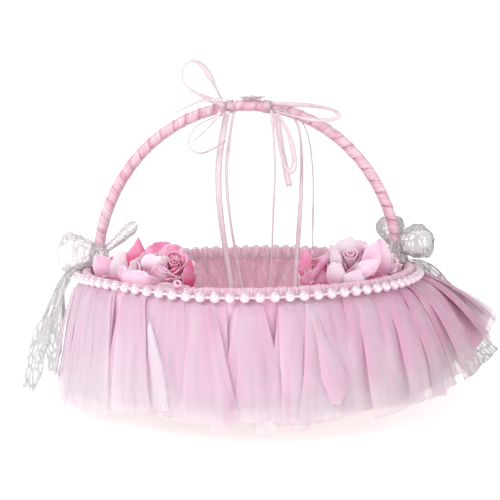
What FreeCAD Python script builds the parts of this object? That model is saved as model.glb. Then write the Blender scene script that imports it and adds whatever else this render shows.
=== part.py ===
# Flower girl basket: a woven chip-wood basket on a narrow foot, with a satin-wrapped fixed
# handle, gathered lining, felt rim band, moulded pearl string, tulle skirt, foam roses, two
# lace bows and two narrow ribbon bows.
#
# Frame: millimetres, +Z up, origin at the centre of the resting face. The handle stands in
# the XZ plane and the front of the basket looks along -Y.
import FreeCAD, Part
import math
import os

V = FreeCAD.Vector

# ---------------------------------------------------------------- woven wall and base
base_radius = 47.0        # middle surface of the wall at the table
waist_radius = 56.0       # where the lower wall and the flare would meet
waist_height = 40.0
waist_bend = 20.0         # bend radius of the stakes between the two
rim_radius = 105.7        # middle surface of the upright part at the rim
flare_height = 74.0       # height where the flare turns upright
rim_height = 84.0         # top of the stakes
stake_count = 24
stake_width = 6.0
stake_thick = 0.8
stake_foot = 0.4          # lower end of the stakes above the table
weaver_thick = 0.8
weaver_pitch = 12.0       # wanted spacing of the rows along the wall
weaver_gap = 1.2          # free space between two rows
weave_play = 0.15         # clearance between a weaver and a stake
flare_margin = 3.0        # bare length of the stakes below the rim
board_thick = 4.0
ring_sides = 60           # facets of the round hoops and bands
fit_play = 0.2            # clearance of the board in the ring of stakes
rope_radius = 1.8         # twisted foot cord
rope_lays = 20            # quarter turns of the lay round the foot

# ---------------------------------------------------------------- rim
hoop_thick = 2.0
hoop_height = 9.6
hoop_play = 0.1
band_thick = 1.0          # felt band folded over the rim
band_play = 0.2
band_drop_out = 10.6      # height of the band outside
band_drop_in = 8.3        # height of the fold inside
pearl_count = 87
pearl_diameter = 6.0
pearl_neck = 1.4          # thickness of the string between two pearls
pearl_below = 4.6         # centre of the pearls below the top of the band
pearl_rise_back = 2.8     # how much higher the string is at the back
pearl_rise_front = 3.2    # and at the front left
pearl_lift_angle = 222.0  # middle of the lifted part at the front left
pearl_lift_span = 26.0
seat_gap = 0.3            # clearance where a soft piece lies on its seat

# ---------------------------------------------------------------- lining
pleat_count = 16
pleat_ratio = 0.025       # pleat depth as a share of the radius
lining_thick = 0.5
lining_play = 0.4
floor_thick = 2.0

# ---------------------------------------------------------------- handle
handle_top = 190.5        # centre line at the top of the arch
arch_foot = 80.0          # height of the centre of the arch's ellipse
core_radius = 2.4
core_recess = 0.5         # the core stops this far inside the ends of the wrap
wrap_low = 3.2            # radius of the wrap where a turn dives under the next
wrap_high = 3.7           # radius of the wrap at the free edge of a turn
wrap_play = 0.15
wrap_pitch = 9.6          # advance of one turn along the handle
wrap_sides = 8
arch_stations = 20

# ---------------------------------------------------------------- tulle skirt
tulle_thick = 0.6
strip_count = 30
strip_fill = 0.94         # width of a strip as a share of its sector of the skirt
skirt_front_radius = 119.0
skirt_side_spread = 26.0  # extra reach of the hem on the right side
skirt_left_spread = 9.0
skirt_hem_height = 17.0
fold_depth = 3.0

# ---------------------------------------------------------------- roses and bows
petal_thick = 0.9
stem_radius = 2.0
lace_thick = 0.7
lace_wall = 1.2           # folded lace round the handle's foot
lace_turn = 9.0           # length of that turn along the handle
lace_level = 15.0         # its middle above the end of the handle
lace_lift = 1.4           # start of the lace tails above the band
lace_hem = 4.2            # end of the longest lace tail above the table
ribbon_width = 4.0
ribbon_thick = 0.4
ribbon_play = 0.2
ribbon_turn = 5.0         # length of the turn round the handle under a knot
knot_left = -10.5         # X of the two ribbon knots
knot_right = 13.5
knot_length = 6.5
knot_height = 6.0
knot_depth = 3.0


def unit(v):
    return V(v) * (1.0 / v.Length)


def polar(radius, angle, height=0.0):
    """Point at a radius, an angle in degrees and a height."""
    a = math.radians(angle)
    return V(radius * math.cos(a), radius * math.sin(a), height)


# ================================================================ solids from faces
def flat_rings(ring):
    """The ring without repeated corners, cut in two where its corners are not in one plane."""
    kept = []
    for p in ring:
        if not kept or p.distanceToPoint(kept[-1]) > 1e-6:
            kept.append(p)
    while len(kept) > 1 and kept[0].distanceToPoint(kept[-1]) < 1e-6:
        kept.pop()
    if len(kept) < 3:
        return []
    if len(kept) == 4:
        normal = (kept[1] - kept[0]).cross(kept[2] - kept[0])
        if normal.Length < 1e-9 or abs(unit(normal).dot(kept[3] - kept[0])) > 2e-8:
            return [kept[:3], [kept[0], kept[2], kept[3]]]
    return [kept]


def polyhedron(faces):
    """Closed solid from rings of corner points."""
    made = []
    for face in faces:
        for ring in flat_rings(face):
            made.append(Part.Face(Part.makePolygon(ring + ring[:1])))
    solid = Part.Solid(Part.Shell(made))
    if solid.Volume < 0:
        solid.reverse()
    return solid


def stacked_rings(rings, closed=False):
    """Side faces between consecutive rings of equally many points."""
    faces = []
    pairs = list(zip(rings, rings[1:]))
    if closed:
        pairs.append((rings[-1], rings[0]))
    for a, b in pairs:
        for i in range(len(a)):
            j = (i + 1) % len(a)
            faces.append([a[i], a[j], b[j], b[i]])
    return faces


def ring_annulus(outer, inner):
    """Flat faces between an outer and an inner ring of one plane."""
    return [
        [outer[i], outer[(i + 1) % len(outer)], inner[(i + 1) % len(outer)], inner[i]]
        for i in range(len(outer))
    ]


def sheet_solid(grid, thickness):
    """Thin closed solid round a grid of points, rows by columns."""
    rows = len(grid)
    cols = len(grid[0])
    front = []
    back = []
    for i in range(rows):
        front.append([])
        back.append([])
        for j in range(cols):
            up = grid[min(i + 1, rows - 1)][j] - grid[max(i - 1, 0)][j]
            across = grid[i][min(j + 1, cols - 1)] - grid[i][max(j - 1, 0)]
            shift = unit(across.cross(up)) * (thickness / 2)
            front[i].append(grid[i][j] + shift)
            back[i].append(grid[i][j] - shift)
    faces = []
    for side in (front, back):
        for i in range(rows - 1):
            for j in range(cols - 1):
                faces.append([side[i][j], side[i][j + 1], side[i + 1][j + 1], side[i + 1][j]])
    for j in range(cols - 1):
        for i in (0, rows - 1):
            faces.append([front[i][j], front[i][j + 1], back[i][j + 1], back[i][j]])
    for i in range(rows - 1):
        for j in (0, cols - 1):
            faces.append([front[i][j], front[i + 1][j], back[i + 1][j], back[i][j]])
    return polyhedron(faces)


def band_solid(line, across, thickness, closed=False):
    """Flat band along a line of points, with one half-width vector for each point."""
    count = len(line)
    rings = []
    for i in range(count):
        if closed:
            ahead = line[(i + 1) % count] - line[i - 1]
        else:
            ahead = line[min(i + 1, count - 1)] - line[max(i - 1, 0)]
        lift = unit(ahead.cross(across[i])) * (thickness / 2)
        a = line[i] + across[i]
        b = line[i] - across[i]
        rings.append([a + lift, b + lift, b - lift, a - lift])
    faces = stacked_rings(rings, closed)
    if not closed:
        faces.append(rings[0])
        faces.append(rings[-1])
    return polyhedron(faces)


def turned(shape, angle):
    copy = shape.copy()
    copy.rotate(V(0, 0, 0), V(0, 0, 1), angle)
    return copy


def ring_of(profile):
    """Full turn about the axis of a closed ring of (radius, height) points, in fine facets.

    A radius is kept as the distance of the flats, so that nested rings keep their clearance.
    """
    grow = 1.0 / math.cos(math.pi / ring_sides)
    rings = []
    for radius, height in profile:
        rings.append([polar(radius * grow, 360.0 * i / ring_sides, height) for i in range(ring_sides)])
    return polyhedron(stacked_rings(rings, closed=True))


# ================================================================ wall profile
def wall_profile():
    """Middle surface of the wall in the radius-height plane, from the foot to the rim."""
    slope = (waist_radius - base_radius) / waist_height
    foot = V(base_radius + slope * stake_foot, 0, stake_foot)
    waist = V(waist_radius, 0, waist_height)
    flare = V(rim_radius, 0, flare_height)
    top = V(rim_radius, 0, rim_height)
    down = unit(foot - waist)
    out = unit(flare - waist)
    half_turn = (math.pi - down.getAngle(out)) / 2
    reach = waist_bend * math.tan(half_turn)
    towards = unit(down + out)
    centre = waist + towards * (waist_bend / math.cos(half_turn))
    return [
        foot,
        waist + down * reach,
        centre - towards * waist_bend,
        waist + out * reach,
        flare,
        top,
    ]


def offset_profile(points, distance):
    """Profile moved sideways, towards the inside of the basket where positive."""
    normals = []
    for a, b in zip(points, points[1:]):
        t = unit(b - a)
        normals.append(V(-t.z, 0, t.x))
    moved = []
    for i, p in enumerate(points):
        before = normals[max(i - 1, 0)]
        after = normals[min(i, len(normals) - 1)]
        both = unit(before + after)
        moved.append(p + both * (distance / both.dot(after)))
    return moved


def weave_reach(radius, slope_cos):
    """Radial distances of a weaver outside and inside the middle surface at a stake.

    A weaver runs straight from outside one stake to inside the next, so it has to stand off
    far enough to clear the edges of both.
    """
    half = math.pi / stake_count
    share = (stake_width / 2) / (radius * math.sin(2 * half))
    sag = radius * (1 - math.cos(2 * half))
    need = ((stake_thick + weaver_thick) / 2 + weave_play) / slope_cos
    outside = 0.0
    inside = 0.0
    for _ in range(30):
        outside = (need + share * (inside + sag)) / (1 - share)
        inside = max((need + share * (outside - sag)) / (1 - share), need)
    return outside, inside


# ================================================================ wall parts
def make_stakes():
    middle = wall_profile()
    outline = offset_profile(middle, -stake_thick / 2)
    outline += offset_profile(middle, stake_thick / 2)[::-1]
    face = Part.Face(Part.makePolygon(outline + outline[:1]))
    stake = face.extrude(V(0, stake_width, 0))
    stake.translate(V(0, -stake_width / 2, 0))
    return [turned(stake, 360.0 * i / stake_count) for i in range(stake_count)]


def make_weaver(low, high, phase):
    """One row of the weave between two points of the wall profile."""
    run = high - low
    slope_cos = abs(unit(run).z)
    middle = (low.x + high.x) / 2
    outside, inside = weave_reach(middle, slope_cos)
    half = weaver_thick / (2 * slope_cos)
    rings = []
    for point, side in ((low, half), (high, half), (high, -half), (low, -half)):
        ring = []
        for i in range(stake_count):
            reach = outside if (i + phase) % 2 else -inside
            scale = 1 + (reach + side) / middle
            ring.append(polar(point.x * scale, 360.0 * i / stake_count, point.z))
        rings.append(ring)
    return polyhedron(stacked_rings(rings, closed=True))


def make_weavers():
    profile = wall_profile()
    first = 2 * rope_radius + 2 * fit_play
    start = profile[0] + (profile[1] - profile[0]) * (
        (first - profile[0].z) / (profile[1].z - profile[0].z)
    )
    end = profile[4] - unit(profile[4] - profile[3]) * flare_margin
    bends = [start, profile[1], profile[2], profile[3], end]
    rows = []
    for a, b in zip(bends, bends[1:]):
        length = (b - a).Length
        count = max(1, round(length / weaver_pitch))
        along = unit(b - a)
        for i in range(count):
            low = a + along * (length * i / count + weaver_gap / 2)
            high = a + along * (length * (i + 1) / count - weaver_gap / 2)
            rows.append(make_weaver(low, high, len(rows)))
    return rows


def make_base_board():
    radius = base_radius - stake_thick / 2 - fit_play
    ring = [polar(radius, 360.0 * (i + 0.5) / ring_sides) for i in range(ring_sides)]
    return Part.Face(Part.makePolygon(ring + ring[:1])).extrude(V(0, 0, board_thick))


def make_foot_rope():
    """Two-strand cord round the foot: a lozenge section that turns along the ring."""
    slope = (waist_radius - base_radius) / waist_height
    centre = base_radius + slope * rope_radius * 2 + stake_thick / 2 + fit_play + rope_radius
    steps = 2 * rope_lays
    rings = []
    for i in range(steps):
        angle = 360.0 * i / steps
        ring = []
        for corner in range(4):
            turn = math.radians(90 * corner + 45 * i)
            reach = rope_radius
            ring.append(
                polar(centre + reach * math.cos(turn), angle, rope_radius + reach * math.sin(turn))
            )
        rings.append(ring)
    faces = []
    for i in range(steps):
        a = rings[i]
        b = rings[(i + 1) % steps]
        wrap = 0 if i + 1 < steps else (45 * steps // 90) % 4
        for j in range(4):
            k = (j + 1) % 4
            faces.append([a[j], a[k], b[(k + wrap) % 4], b[(j + wrap) % 4]])
    return polyhedron(faces)


# ================================================================ rim parts
hoop_inner = rim_radius + stake_thick / 2 + hoop_play
hoop_outer = hoop_inner + hoop_thick
hoop_bottom = rim_height + 0.6 - hoop_height
hoop_top = hoop_bottom + hoop_height
band_outer = hoop_outer + band_play + band_thick
band_inner = rim_radius - stake_thick / 2 - 2 * band_play - band_thick
band_top = hoop_top + band_play + band_thick
handle_x = band_inner - seat_gap - wrap_high


def make_hoop():
    return ring_of(
        [
            (hoop_inner, hoop_bottom),
            (hoop_outer, hoop_bottom),
            (hoop_outer, hoop_top),
            (hoop_inner, hoop_top),
        ]
    )


def make_band():
    low_out = band_top - band_drop_out
    low_in = band_top - band_drop_in
    under = band_top - band_thick
    return ring_of(
        [
            (band_outer, low_out),
            (band_outer, band_top),
            (band_inner, band_top),
            (band_inner, low_in),
            (band_inner + band_thick, low_in),
            (band_inner + band_thick, under),
            (band_outer - band_thick, under),
            (band_outer - band_thick, low_out),
        ]
    )


def pearl_height(angle):
    """Height of the string: it is sewn higher at the back and at the front left."""
    back = 0.5 - 0.5 * math.cos(math.pi * max(0.0, math.sin(math.radians(angle))))
    turn = (angle - pearl_lift_angle + 180) % 360 - 180
    front = math.exp(-((turn / pearl_lift_span) ** 2))
    return band_top - pearl_below + pearl_rise_back * back + pearl_rise_front * front


def make_pearl_string():
    """Moulded string of faceted pearls, one closed ring round the band."""
    radius = pearl_diameter / 2
    ring_radius = band_outer + radius + 0.1
    pitch = 360.0 / pearl_count
    flank = math.degrees(0.52 * radius / ring_radius)
    rings = []
    for i in range(pearl_count):
        for shift, size in ((-pitch / 2, pearl_neck / 2), (-flank, radius * 0.93), (flank, radius * 0.93)):
            angle = pitch * i + shift
            height = pearl_height(pitch * i) if shift != -pitch / 2 else pearl_height(angle)
            ring = []
            for corner in range(6):
                turn = math.radians(60 * corner + 30)
                ring.append(
                    polar(ring_radius + size * math.cos(turn), angle, height + size * math.sin(turn))
                )
            rings.append(ring)
    return polyhedron(stacked_rings(rings, closed=True))


# ================================================================ lining
def lining_offset():
    """Clear distance of the lining from the wall's middle surface."""
    profile = wall_profile()
    run = profile[4] - profile[3]
    slope_cos = abs(unit(run).z)
    worst = weaver_thick
    for p in profile[1:4]:
        worst = max(worst, weave_reach(p.x, 1.0)[1] + weaver_thick / 2)
    worst = max(worst, (weave_reach(profile[4].x, slope_cos)[1]) * slope_cos + weaver_thick / 2)
    return worst + lining_play


def star_ring(radius, height):
    ring = []
    for i in range(2 * pleat_count):
        size = radius if i % 2 == 0 else radius * (1 - pleat_ratio)
        ring.append(polar(size, 180.0 * (i + 0.5) / pleat_count, height))
    return ring


def make_lining():
    """Gathered satin wall: every ring is a star with the same share of pleat."""
    low = board_thick + seat_gap
    high = band_top - band_drop_in - seat_gap
    walls = []
    for distance in (lining_offset(), lining_offset() + lining_thick):
        line = offset_profile(wall_profile(), distance)
        share = (low - line[0].z) / (line[1].z - line[0].z)
        line[0] = line[0] + (line[1] - line[0]) * share
        line[-1] = V(line[-1].x, 0, high)
        walls.append([star_ring(p.x, p.z) for p in line])
    outer, inner = walls
    return polyhedron(
        stacked_rings(outer)
        + stacked_rings(inner)
        + ring_annulus(outer[0], inner[0])
        + ring_annulus(outer[-1], inner[-1])
    )


def make_lining_floor():
    line = offset_profile(wall_profile(), lining_offset() + lining_thick)
    radius = line[0].x * (1 - pleat_ratio) - fit_play
    sides = 2 * pleat_count
    ring = [polar(radius, 360.0 * i / sides, board_thick + seat_gap) for i in range(sides)]
    face = Part.Face(Part.makePolygon(ring + ring[:1]))
    return face.extrude(V(0, 0, floor_thick))


# ================================================================ handle
def arch_line():
    """Dense centre line of the handle from the left foot to the right foot."""
    foot_z = band_top - band_drop_in + seat_gap
    rise = handle_top - arch_foot
    points = []
    steps = 120
    for i in range(steps + 1):
        angle = math.pi * (1 - i / steps)
        x = handle_x * 1.011 * math.cos(angle)
        z = arch_foot + rise * math.sin(angle)
        points.append(V(max(-handle_x, min(handle_x, x)), 0, z))
    left = V(-handle_x, 0, foot_z)
    right = V(handle_x, 0, foot_z)
    inside = [p for p in points if p.z > foot_z + 6]
    return [left] + inside + [right]


arch = arch_line()
arch_lengths = [0.0]
for first, second in zip(arch, arch[1:]):
    arch_lengths.append(arch_lengths[-1] + (second - first).Length)
arch_length = arch_lengths[-1]


def arch_at(distance):
    """Centre point and outward direction of the handle at a distance from its left foot."""
    distance = max(0.0, min(arch_length, distance))
    i = 0
    while i < len(arch) - 2 and arch_lengths[i + 1] < distance:
        i += 1
    share = (distance - arch_lengths[i]) / (arch_lengths[i + 1] - arch_lengths[i])
    point = arch[i] + (arch[i + 1] - arch[i]) * share
    before = arch[i] - arch[i - 1] if i > 0 else V(0, 0, 1)
    here = arch[i + 1] - arch[i]
    after = arch[i + 2] - arch[i + 1] if i < len(arch) - 2 else V(0, 0, -1)
    if share < 0.5:
        ahead = unit(before) * (0.5 - share) + unit(here) * (0.5 + share)
    else:
        ahead = unit(here) * (1.5 - share) + unit(after) * (share - 0.5)
    ahead = unit(ahead)
    return point, V(-ahead.z, 0, ahead.x)


def arch_corner(distance, radius, corner):
    point, outward = arch_at(distance)
    turn = math.radians(360.0 * (corner + 0.5) / wrap_sides)
    return point + outward * (radius * math.cos(turn)) + V(0, 1, 0) * (radius * math.sin(turn))


def arch_ring(distance, radius):
    return [arch_corner(distance, radius, j) for j in range(wrap_sides)]


def make_handle_core():
    span = arch_length - 2 * core_recess
    rings = []
    for i in range(arch_stations + 1):
        rings.append(arch_ring(core_recess + span * i / arch_stations, core_radius))
    return polyhedron(stacked_rings(rings) + [rings[0], rings[-1]])


def make_handle_wrap():
    """Ribbon wound on the handle: each turn rises from under the one before to a free edge."""
    turns = round(arch_length / wrap_pitch)
    pitch = arch_length / turns

    def corner(turn, side, radius):
        distance = pitch * (turn + side / wrap_sides + 0.1)
        inside = 0 < distance < arch_length
        return arch_corner(distance, radius if inside else wrap_low, side % wrap_sides)

    faces = []
    for k in range(-2, turns + 1):
        for j in range(wrap_sides):
            faces.append(
                [
                    corner(k, j, wrap_low),
                    corner(k, j + 1, wrap_low),
                    corner(k + 1, j + 1, wrap_high),
                    corner(k + 1, j, wrap_high),
                ]
            )
            faces.append(
                [
                    corner(k, j, wrap_high),
                    corner(k, j + 1, wrap_high),
                    corner(k, j + 1, wrap_low),
                    corner(k, j, wrap_low),
                ]
            )
    bore = core_radius + wrap_play
    rings = [arch_ring(arch_length * i / arch_stations, bore) for i in range(arch_stations + 1)]
    faces += stacked_rings(rings)
    faces += ring_annulus(arch_ring(0, wrap_low), rings[0])
    faces += ring_annulus(arch_ring(arch_length, wrap_low), rings[-1])
    return polyhedron(faces)


# ================================================================ tulle skirt
def make_tulle():
    """Strips of tulle that hang from the band, each with one soft fold."""
    groups = {"front": [], "left": [], "right": [], "back": []}
    top_radius = band_outer + seat_gap + tulle_thick / 2
    top_height = band_top - pearl_below - pearl_diameter / 2 - seat_gap
    for i in range(strip_count):
        angle = 360.0 * (i + 0.5) / strip_count
        right = max(0.0, math.cos(math.radians(angle)))
        left = max(0.0, -math.cos(math.radians(angle)))
        wave = math.sin(2.4 * i)
        hem_radius = skirt_front_radius + skirt_side_spread * right ** 1.5
        hem_radius += skirt_left_spread * left + 2.0 * wave
        hem_height = skirt_hem_height - 8.0 * left + 3.0 * math.cos(3.7 * i)
        hem_height += right * (6.0 + 9.0 * wave)
        middle_radius = top_radius + 0.62 * (hem_radius - top_radius)
        middle_height = (top_height + hem_height) / 2
        rows = (
            (top_radius, top_height, 0.0),
            (middle_radius, middle_height, 0.6),
            (hem_radius, hem_height, 1.0),
        )
        grid = []
        for radius, height, share in rows:
            centre = polar(radius + fold_depth * share, angle, height)
            side = polar(radius * math.tan(math.pi / strip_count) * strip_fill, angle + 90)
            inward = polar(-fold_depth * share, angle)
            grid.append([centre - side + inward, centre, centre + side + inward])
        strip = sheet_solid(grid, tulle_thick)
        if angle < 45 or angle > 315:
            groups["right"].append(strip)
        elif angle < 135:
            groups["back"].append(strip)
        elif angle < 225:
            groups["left"].append(strip)
        else:
            groups["front"].append(strip)
    return groups


# ================================================================ roses
def make_petal(centre, angle, span, radius, spiral, low, high, flare):
    """One cupped petal: an arc of the whorl that winds outwards from edge to edge."""
    grid = []
    for share, height in ((0.0, low), (1.0, high)):
        row = []
        for j in (-1, 0, 1):
            reach = radius + spiral * j + flare * share * (1.0 if j == 0 else 0.6)
            droop = 0.0 if j == 0 else -0.14 * (high - low) * share
            p = polar(reach, angle + span * j / 2, height + droop)
            row.append(centre + p)
        grid.append(row)
    return sheet_solid(grid, petal_thick)


def pleat_size(angle):
    """Size of the pleated lining at an angle, as a share of its radius at a ridge."""
    step = 180.0 / pleat_count
    place = angle / step - 0.5
    share = place - math.floor(place)
    first, second = (1.0, 1 - pleat_ratio) if math.floor(place) % 2 == 0 else (1 - pleat_ratio, 1.0)
    before = math.radians(share * step)
    after = math.radians((1 - share) * step)
    whole = math.radians(step)
    return first * second * math.sin(whole) / (first * math.sin(before) + second * math.sin(after))


# Place of each rose: angle round the basket, distance inside the rim, depth of its cup below
# the top of the band, height, radius and turn of its petals.
roses = {
    "rose_left_outer": (201.7, 16.6, 9.8, 27, 13.0, 10),
    "rose_left_middle": (226.8, 17.2, 9.8, 32, 13.2, 50),
    "rose_left_inner": (243.0, 15.4, 9.8, 31, 11.0, 20),
    "rose_right_inner": (306.0, 37.7, 9.8, 32, 11.0, 15),
    "rose_right_middle": (312.7, 15.8, 9.8, 33, 12.5, 40),
    "rose_right_outer": (338.7, 17.7, 9.8, 31, 14.0, 5),
}


def lining_height(point):
    """Height of the pleated lining's upper face on the flare below a point."""
    line = offset_profile(wall_profile(), lining_offset() + lining_thick)
    low = line[3]
    high = line[4]
    angle = math.degrees(math.atan2(point.y, point.x)) % 360
    reach = math.hypot(point.x, point.y) / pleat_size(angle)
    return low.z + (high.z - low.z) * (reach - low.x) / (high.x - low.x)


def make_rose(angle, inset, drop, height, radius, start):
    """Foam rose: a stem with a cup and a rolled bud, and two whorls of petals on the cup.

    It stands at an angle round the basket, so far inside the rim and below the top of the band.
    """
    centre = polar(rim_radius - inset, angle, band_top - drop)
    foot = centre.z
    under = [lining_height(centre + polar(stem_radius, start + 60 * j)) for j in range(6)]
    stem_foot = max(under) + seat_gap - foot
    bud = []
    levels = (
        (stem_foot, stem_radius),
        (0.0, radius * 0.8),
        (1.0, radius * 0.25),
        (height * 0.6, radius * 0.27),
        (height, radius * 0.13),
    )
    for level, size in levels:
        bud.append([centre + polar(size, start + 60 * j, level) for j in range(6)])
    solids = [polyhedron(stacked_rings(bud) + [bud[0], bud[-1]])]
    for j in range(3):
        solids.append(
            make_petal(
                centre, start + 120 * j, 118, radius * 0.46, radius * 0.07,
                1.2, height * 0.92, radius * 0.07,
            )
        )
    for j in range(5):
        solids.append(
            make_petal(
                centre, start + 36 + 72 * j, 74, radius * 0.72, radius * 0.05,
                0.9, height * 0.78, radius * 0.24,
            )
        )
    return solids


# ================================================================ lace and ribbon bows
def spread(values, share):
    """Value at a share of the way through a list of evenly spaced values."""
    place = share * (len(values) - 1)
    i = min(int(place), len(values) - 2)
    return values[i] + (values[i + 1] - values[i]) * (place - i)


def bow_loop(points, widths, leans, thickness):
    """Ribbon along a line; its width leans by so many degrees from Y towards the view."""
    line = [V(*p) for p in points]
    across = []
    count = len(line)
    for i in range(count):
        share = i / (count - 1)
        lean = math.radians(spread(leans, share))
        ahead = unit(line[min(i + 1, count - 1)] - line[max(i - 1, 0)])
        flat = V(0, 1, 0).cross(ahead)
        mixed = V(0, 1, 0) * math.cos(lean) + unit(flat) * math.sin(lean)
        mixed = mixed - ahead * mixed.dot(ahead)
        across.append(unit(mixed) * (spread(widths, share) / 2))
    return band_solid(line, across, thickness)


def collar(position, length, thickness):
    """Closed turn of ribbon round the wrapped handle."""
    inner = wrap_high + ribbon_play
    start = position - length / 2
    end = position + length / 2
    rings = [
        arch_ring(start, inner),
        arch_ring(start, inner + thickness),
        arch_ring(end, inner + thickness),
        arch_ring(end, inner),
    ]
    return polyhedron(stacked_rings(rings, closed=True))


def arch_distance(x):
    """Distance along the handle of the point at a given X on the top of the arch."""
    best = min(range(len(arch)), key=lambda i: abs(arch[i].x - x) + (0 if arch[i].z > 100 else 1e3))
    return arch_lengths[best]


def knot(centre, length, height, depth):
    """Small faceted lump of a tied knot, long in X."""
    rings = []
    for share, size in ((-1.0, 0.55), (-0.35, 1.0), (0.35, 1.0), (1.0, 0.55)):
        ring = []
        for j in range(6):
            turn = math.radians(60 * j + 30)
            ring.append(
                centre
                + V(
                    share * length / 2,
                    size * depth / 2 * math.cos(turn),
                    size * height / 2 * math.sin(turn),
                )
            )
        rings.append(ring)
    return polyhedron(stacked_rings(rings) + [rings[0], rings[-1]])


def path_stations(points):
    """Points and side directions along straight runs joined by tangent arcs."""
    route = [V(x, 0, z) for x, z in points]
    radii = []
    first = unit(route[1] - route[0])
    stations = [(route[0], V(-first.z, 0, first.x))]
    for before, here, after in zip(route, route[1:], route[2:]):
        into = unit(here - before)
        out = unit(after - here)
        half = into.getAngle(out) / 2
        reach = 0.45 * min((here - before).Length, (after - here).Length)
        radius = reach / math.tan(half)
        radii.append(radius)
        both = unit(into + out)
        middle = here + unit(out - into) * (radius / math.cos(half) - radius)
        stations.append((here - into * reach, V(-into.z, 0, into.x)))
        stations.append((middle, V(-both.z, 0, both.x)))
        stations.append((here + out * reach, V(-out.z, 0, out.x)))
    last = unit(route[-1] - route[-2])
    stations.append((route[-1], V(-last.z, 0, last.x)))
    return stations, radii


def path_edges(stations, side):
    points = [p + n * side for p, n in stations]
    edges = []
    for i in range(0, len(points) - 2, 3):
        edges.append(Part.LineSegment(points[i], points[i + 1]).toShape())
        if i + 3 < len(points):
            edges.append(Part.Arc(points[i + 1], points[i + 2], points[i + 3]).toShape())
    edges.append(Part.LineSegment(points[-2], points[-1]).toShape())
    return edges, points[0], points[-1]


def ribbon_tail(name, points, depth, across, through):
    """Hanging ribbon end: a flat strip along runs and arcs at one depth.

    The strip is `across` wide in the plane of its route and `through` deep along Y.
    """
    stations, radii = path_stations(points)
    left, left_start, left_end = path_edges(stations, across / 2)
    right, right_start, right_end = path_edges(stations, -across / 2)
    caps = [
        Part.LineSegment(left_start, right_start).toShape(),
        Part.LineSegment(left_end, right_end).toShape(),
    ]
    outline = Part.Wire(Part.__sortEdges__(left + right + caps))
    solid = Part.Face(outline).extrude(V(0, through, 0))
    solid.translate(V(0, depth - through / 2, 0))
    length = sum(edge.Length for edge in path_edges(stations, 0.0)[0])
    smallest = min(radii)
    expected = length * across * through
    print(f"{name}: {length:.1f} mm, smallest radius {smallest:.1f}, "
          f"volume {solid.Volume:.2f} of {expected:.2f}")
    return solid


# Routes of the hanging ribbon ends: (X, Z) points, depth along Y and whether the flat side
# faces the front.
ribbon_tails = {
    "ribbon_tail_a": (
        [(-12, 186.6), (-18.5, 160), (-19, 128), (-14.8, 95), (-10.2, 66), (-9.2, 42)],
        -6.8, True,
    ),
    "ribbon_tail_b": (
        [(-7.8, 186.2), (-13.6, 158), (-13.2, 128), (-9, 97), (-3.4, 68), (-1, 43)],
        -5.6, True,
    ),
    "ribbon_tail_c": (
        [(16.4, 186.9), (19, 158.5), (17.6, 129), (15.9, 98), (14.8, 69), (14.6, 43)],
        -6.0, False,
    ),
    "ribbon_tail_d": (
        [(17.5, 188.2), (27.5, 186.2), (33.8, 178.4), (36.2, 163), (35.8, 136), (33.4, 104),
         (31.2, 76), (30.2, 51)],
        -6.6, True,
    ),
    "ribbon_tail_e": (
        [(17.5, 189.4), (27.5, 188.4), (36.6, 181.6), (42.4, 168.5), (44.6, 144), (44.2, 114),
         (43.6, 87)],
        5.8, False,
    ),
    "ribbon_tail_short": (
        [(20.6, 183.5), (22.3, 161), (27.8, 137.5)],
        -8.6, True,
    ),
}


def lace_loop(side, points, widths):
    """Loop of a lace bow: points outwards from the handle's foot, along Y and above the band."""
    line = [(side * (handle_x + out), y, band_top + rise) for out, y, rise in points]
    return bow_loop(line, widths, [0, 0], lace_thick)


def lace_tail(side, points, widths, leans):
    """Tail of a lace bow: points outwards from the handle's foot, along Y and down to the hem."""
    top = band_top + lace_lift
    line = [(side * (handle_x + out), y, top - (top - lace_hem) * fall) for out, y, fall in points]
    return bow_loop(line, widths, leans, lace_thick)


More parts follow.
